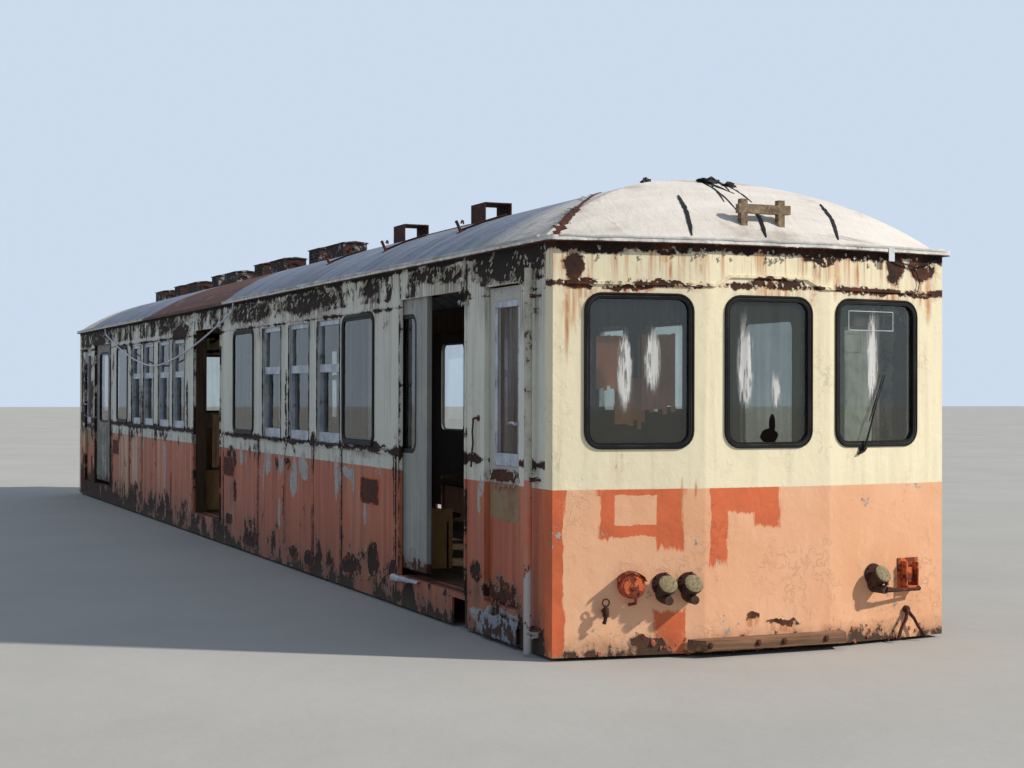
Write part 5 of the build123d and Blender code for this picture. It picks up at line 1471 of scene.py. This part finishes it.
def pad(piece, low, high, thin, crown=0.5):
    # A crowned cushion between two corners; thin is the axis it is thinnest along.
    middle, half = (low + high) / 2, (high - low) / 2
    first, second = [i for i in range(3) if i != thin]
    across, steps = 10, 22
    rings = []
    for i in range(steps + 1):
        u = -1 + 2 * i / steps
        ring = []
        for j in range(2 * across):
            v = -1 + 2 * (j if j < across else 2 * across - 1 - j) / (across - 1)
            sign = 1 if j < across else -1
            full = (1 - abs(u) ** 6) * (1 - abs(v) ** 6)
            rise = 0.35 + 0.65 * full ** 0.5 * (1 - crown * (u * u + v * v) / 2)
            spot = Vector()
            spot[first] = middle[first] + half[first] * u * (1 - 0.03 * (1 - v * v))
            spot[second] = middle[second] + half[second] * v * (1 - 0.05 * (1 - u * u))
            spot[thin] = middle[thin] + sign * half[thin] * rise
            ring.append(spot)
        rings.append(ring)
    piece.loft(rings)


PLINTH_IN, SEAT_LOW, SEAT_HIGH, BACK_IN, BOARD_THICK, SEAT_LONG = 0.090, 0.560, 0.640, 0.060, 0.018, 0.95


def bench_cushions(number, low, high, side, front, back):
    pads = Piece()
    places = spread(low.x, high.x, round((high.x - low.x) / SEAT_LONG))
    for a, b in zip(places, places[1:]):
        a, b = a + 0.004, b - 0.004
        near, far = sorted((front, back - side * BACK_IN))
        pad(pads, Vector((a, near, SEAT_LOW)), Vector((b, far, SEAT_HIGH)), 2)
        near, far = sorted((back - side * BACK_IN, back - side * 0.002))
        pad(pads, Vector((a, near, SEAT_HIGH + 0.004)), Vector((b, far, high.z)), 1)
    cushions = pads.make("bench_cushions_%d" % number, "seat", sharp=80)
    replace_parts(cushions, "bench_seats")


def benches():
    plinths, ends = Piece(), Piece()
    for number, group in enumerate(islands("bench_seats")):
        low, high = corners(group)
        side = 1 if low.y > 0 else -1
        front, back = (low.y, high.y) if side > 0 else (high.y, low.y)
        wall = Wall((0, front, 0), (1, 0, 0), (0, -side, 0))
        plinths.slab(wall, low.x, high.x, low.z, SEAT_LOW, -PLINTH_IN - BOARD_THICK, -PLINTH_IN)
        for end in (low.x, high.x - BOARD_THICK):
            ends.slab(wall, end, end + BOARD_THICK, low.z, SEAT_HIGH + 0.012, -abs(back - front), -PLINTH_IN + 0.030)
        bench_cushions(number + 1, low, high, side, front, back)
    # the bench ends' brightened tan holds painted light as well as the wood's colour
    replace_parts(ends.make("bench_ends", "tan", bevel=0.004), "bench_seats")
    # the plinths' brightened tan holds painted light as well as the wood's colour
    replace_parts(plinths.make("bench_plinths", "panel", bevel=0.002), "bench_seats")


# The slack strip hung from the gutter on the right: its route as in the construction, in metres.
STRIP_RADIUS, STRIP_CLEAR = 0.009, 0.035
STRIP_LOW_X, STRIP_LOW_Z = -2.636, 1.772
STRIP_FRONT, STRIP_REAR = 1.113, -5.974
STRIP_TAIL, STRIP_RUN, STRIP_CURVE = 0.070, 0.262, 1.6


def strip_spot(x):
    end = STRIP_FRONT if x > STRIP_LOW_X else STRIP_REAR
    share = abs(x - STRIP_LOW_X) / abs(end - STRIP_LOW_X)
    return x, STRIP_LOW_Z + (GUTTER_LOW - STRIP_TAIL - STRIP_LOW_Z) * share ** STRIP_CURVE


def hanging_strip():
    runs = round((STRIP_FRONT - STRIP_REAR) / STRIP_RUN)
    places = spread(STRIP_FRONT, STRIP_REAR, runs)[1:-1]
    places = [places[0] + STRIP_RUN / 2] + places + [places[-1] - STRIP_RUN / 2]
    hung = [(x, z) for x in (STRIP_FRONT, STRIP_REAR) for z in (GUTTER_LOW, GUTTER_LOW - STRIP_TAIL)]
    route = hung[:2] + [strip_spot(x) for x in places] + hung[:1:-1]
    line = bpy.data.curves.new("hanging_strip_line", "CURVE")
    line.dimensions = "3D"
    spline = line.splines.new("NURBS")
    spline.points.add(len(route) - 1)
    for point, (x, z) in zip(spline.points, route):
        point.co = (x, -WIDE - STRIP_CLEAR, z, 1.0)
    spline.order_u, spline.use_endpoint_u, spline.resolution_u = 3, True, 8
    line.bevel_depth, line.bevel_resolution = STRIP_RADIUS, 3
    line.materials.append(M["strip"])
    strip = place("hanging_strip_cord", line)
    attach(strip, "car_body")
    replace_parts(strip, "hanging_strip")
    long = sum(math.dist(a, b) for a, b in zip(route, route[1:]))


# Camera, from the photograph: its place, the way it looks, and its focal length in picture pixels.
CAMERA_AT = (16.836, -5.143, 1.478)
YAW, PITCH, ROLL = math.radians(67.0614), math.radians(0.2939), math.radians(0.1518)
FOCAL_PIXELS, PHOTO_WIDE, SENSOR_WIDE = 1700.0, 1024.0, 36.0


def camera():
    data = bpy.data.cameras.new("camera")
    cam = place("camera", data)
    forward = Vector((-math.sin(YAW) * math.cos(PITCH), math.cos(YAW) * math.cos(PITCH), math.sin(PITCH)))
    right = forward.cross(UP).normalized()
    up = right.cross(forward)
    axes = (math.cos(ROLL) * right + math.sin(ROLL) * up, math.cos(ROLL) * up - math.sin(ROLL) * right, -forward)
    turn = Matrix([[axis[i] for axis in axes] for i in range(3)])
    cam.matrix_world = Matrix.Translation(CAMERA_AT) @ turn.to_4x4()
    data.sensor_width, data.clip_end = SENSOR_WIDE, 400
    data.lens = SENSOR_WIDE * FOCAL_PIXELS / PHOTO_WIDE
    bpy.context.scene.camera = cam


SUN_FROM, SUN_STRENGTH, SUN_COLOUR = Vector((0.47, 0.68, 0.56)), 4.1, (1.0, 0.94, 0.85)
SKY, SKY_STRENGTH, BACKDROP = (0.66, 0.80, 1.0, 1), 0.46, (0.80, 0.86, 0.93)


def lights():
    # A low sun ahead of the left side, a soft blue sky, and a plain pale background.
    bpy.context.scene.world = bpy.data.worlds.new("world")
    world = Nodes(bpy.context.scene.world)
    sky = world.fill(world.tree.nodes["Background"], Color=SKY, Strength=SKY_STRENGTH)
    rays = world.new("LightPath").outputs
    seen = world.most(*[rays["Is %s Ray" % kind] for kind in ("Camera", "Glossy", "Transmission")])
    choice = world.blend(seen, sky, world.new("Background", BACKDROP, 1.0))
    world.put(world.tree.nodes["World Output"].inputs[0], choice.outputs[0])
    data = bpy.data.lights.new("sun", "SUN")
    data.energy, data.angle, data.color = SUN_STRENGTH, math.radians(2), SUN_COLOUR
    place("sun", data).rotation_euler = SUN_FROM.to_track_quat("Z", "Y").to_euler()


FLOOR_HALF = 150


def ground():
    mesh = bpy.data.meshes.new("ground")
    edges = [(x * FLOOR_HALF, y * FLOOR_HALF, 0) for x, y in ((-1, -1), (1, -1), (1, 1), (-1, 1))]
    mesh.from_pydata(edges, [], [(0, 1, 2, 3)])
    pale = Shade("pale_floor")
    pale.bump((pale.noise(2.0), 0.01))
    colour = pale.fade(pale.noise(0.4, 4), 0.3, 0.7, (0.70, 0.69, 0.67), (0.66, 0.65, 0.63))
    mesh.materials.append(pale.finish(colour, 0.9))
    place("ground", mesh)


for build in (
    window_trim, sliding_leaf_rubbers, crew_door_fittings, doorway_trim, torn_threshold_strip, screw_heads, bolt_heads,
    end_fittings, hose_hook_plates, window_wipers, gutter_tab, loose_cable, tape_frame_on_pane, downpipe_clips,
    doorway_rods, side_hatches, crumpled_foot_sheet, straps_and_seams, rolled_canvas_edge, torn_tarred_rags, roof_hooks,
    paint_flakes, torn_canvas_flakes, pieces_behind_panes, benches, hanging_strip, camera, lights, ground,
):
    build()
bpy.context.scene.view_settings.view_transform = "Standard"
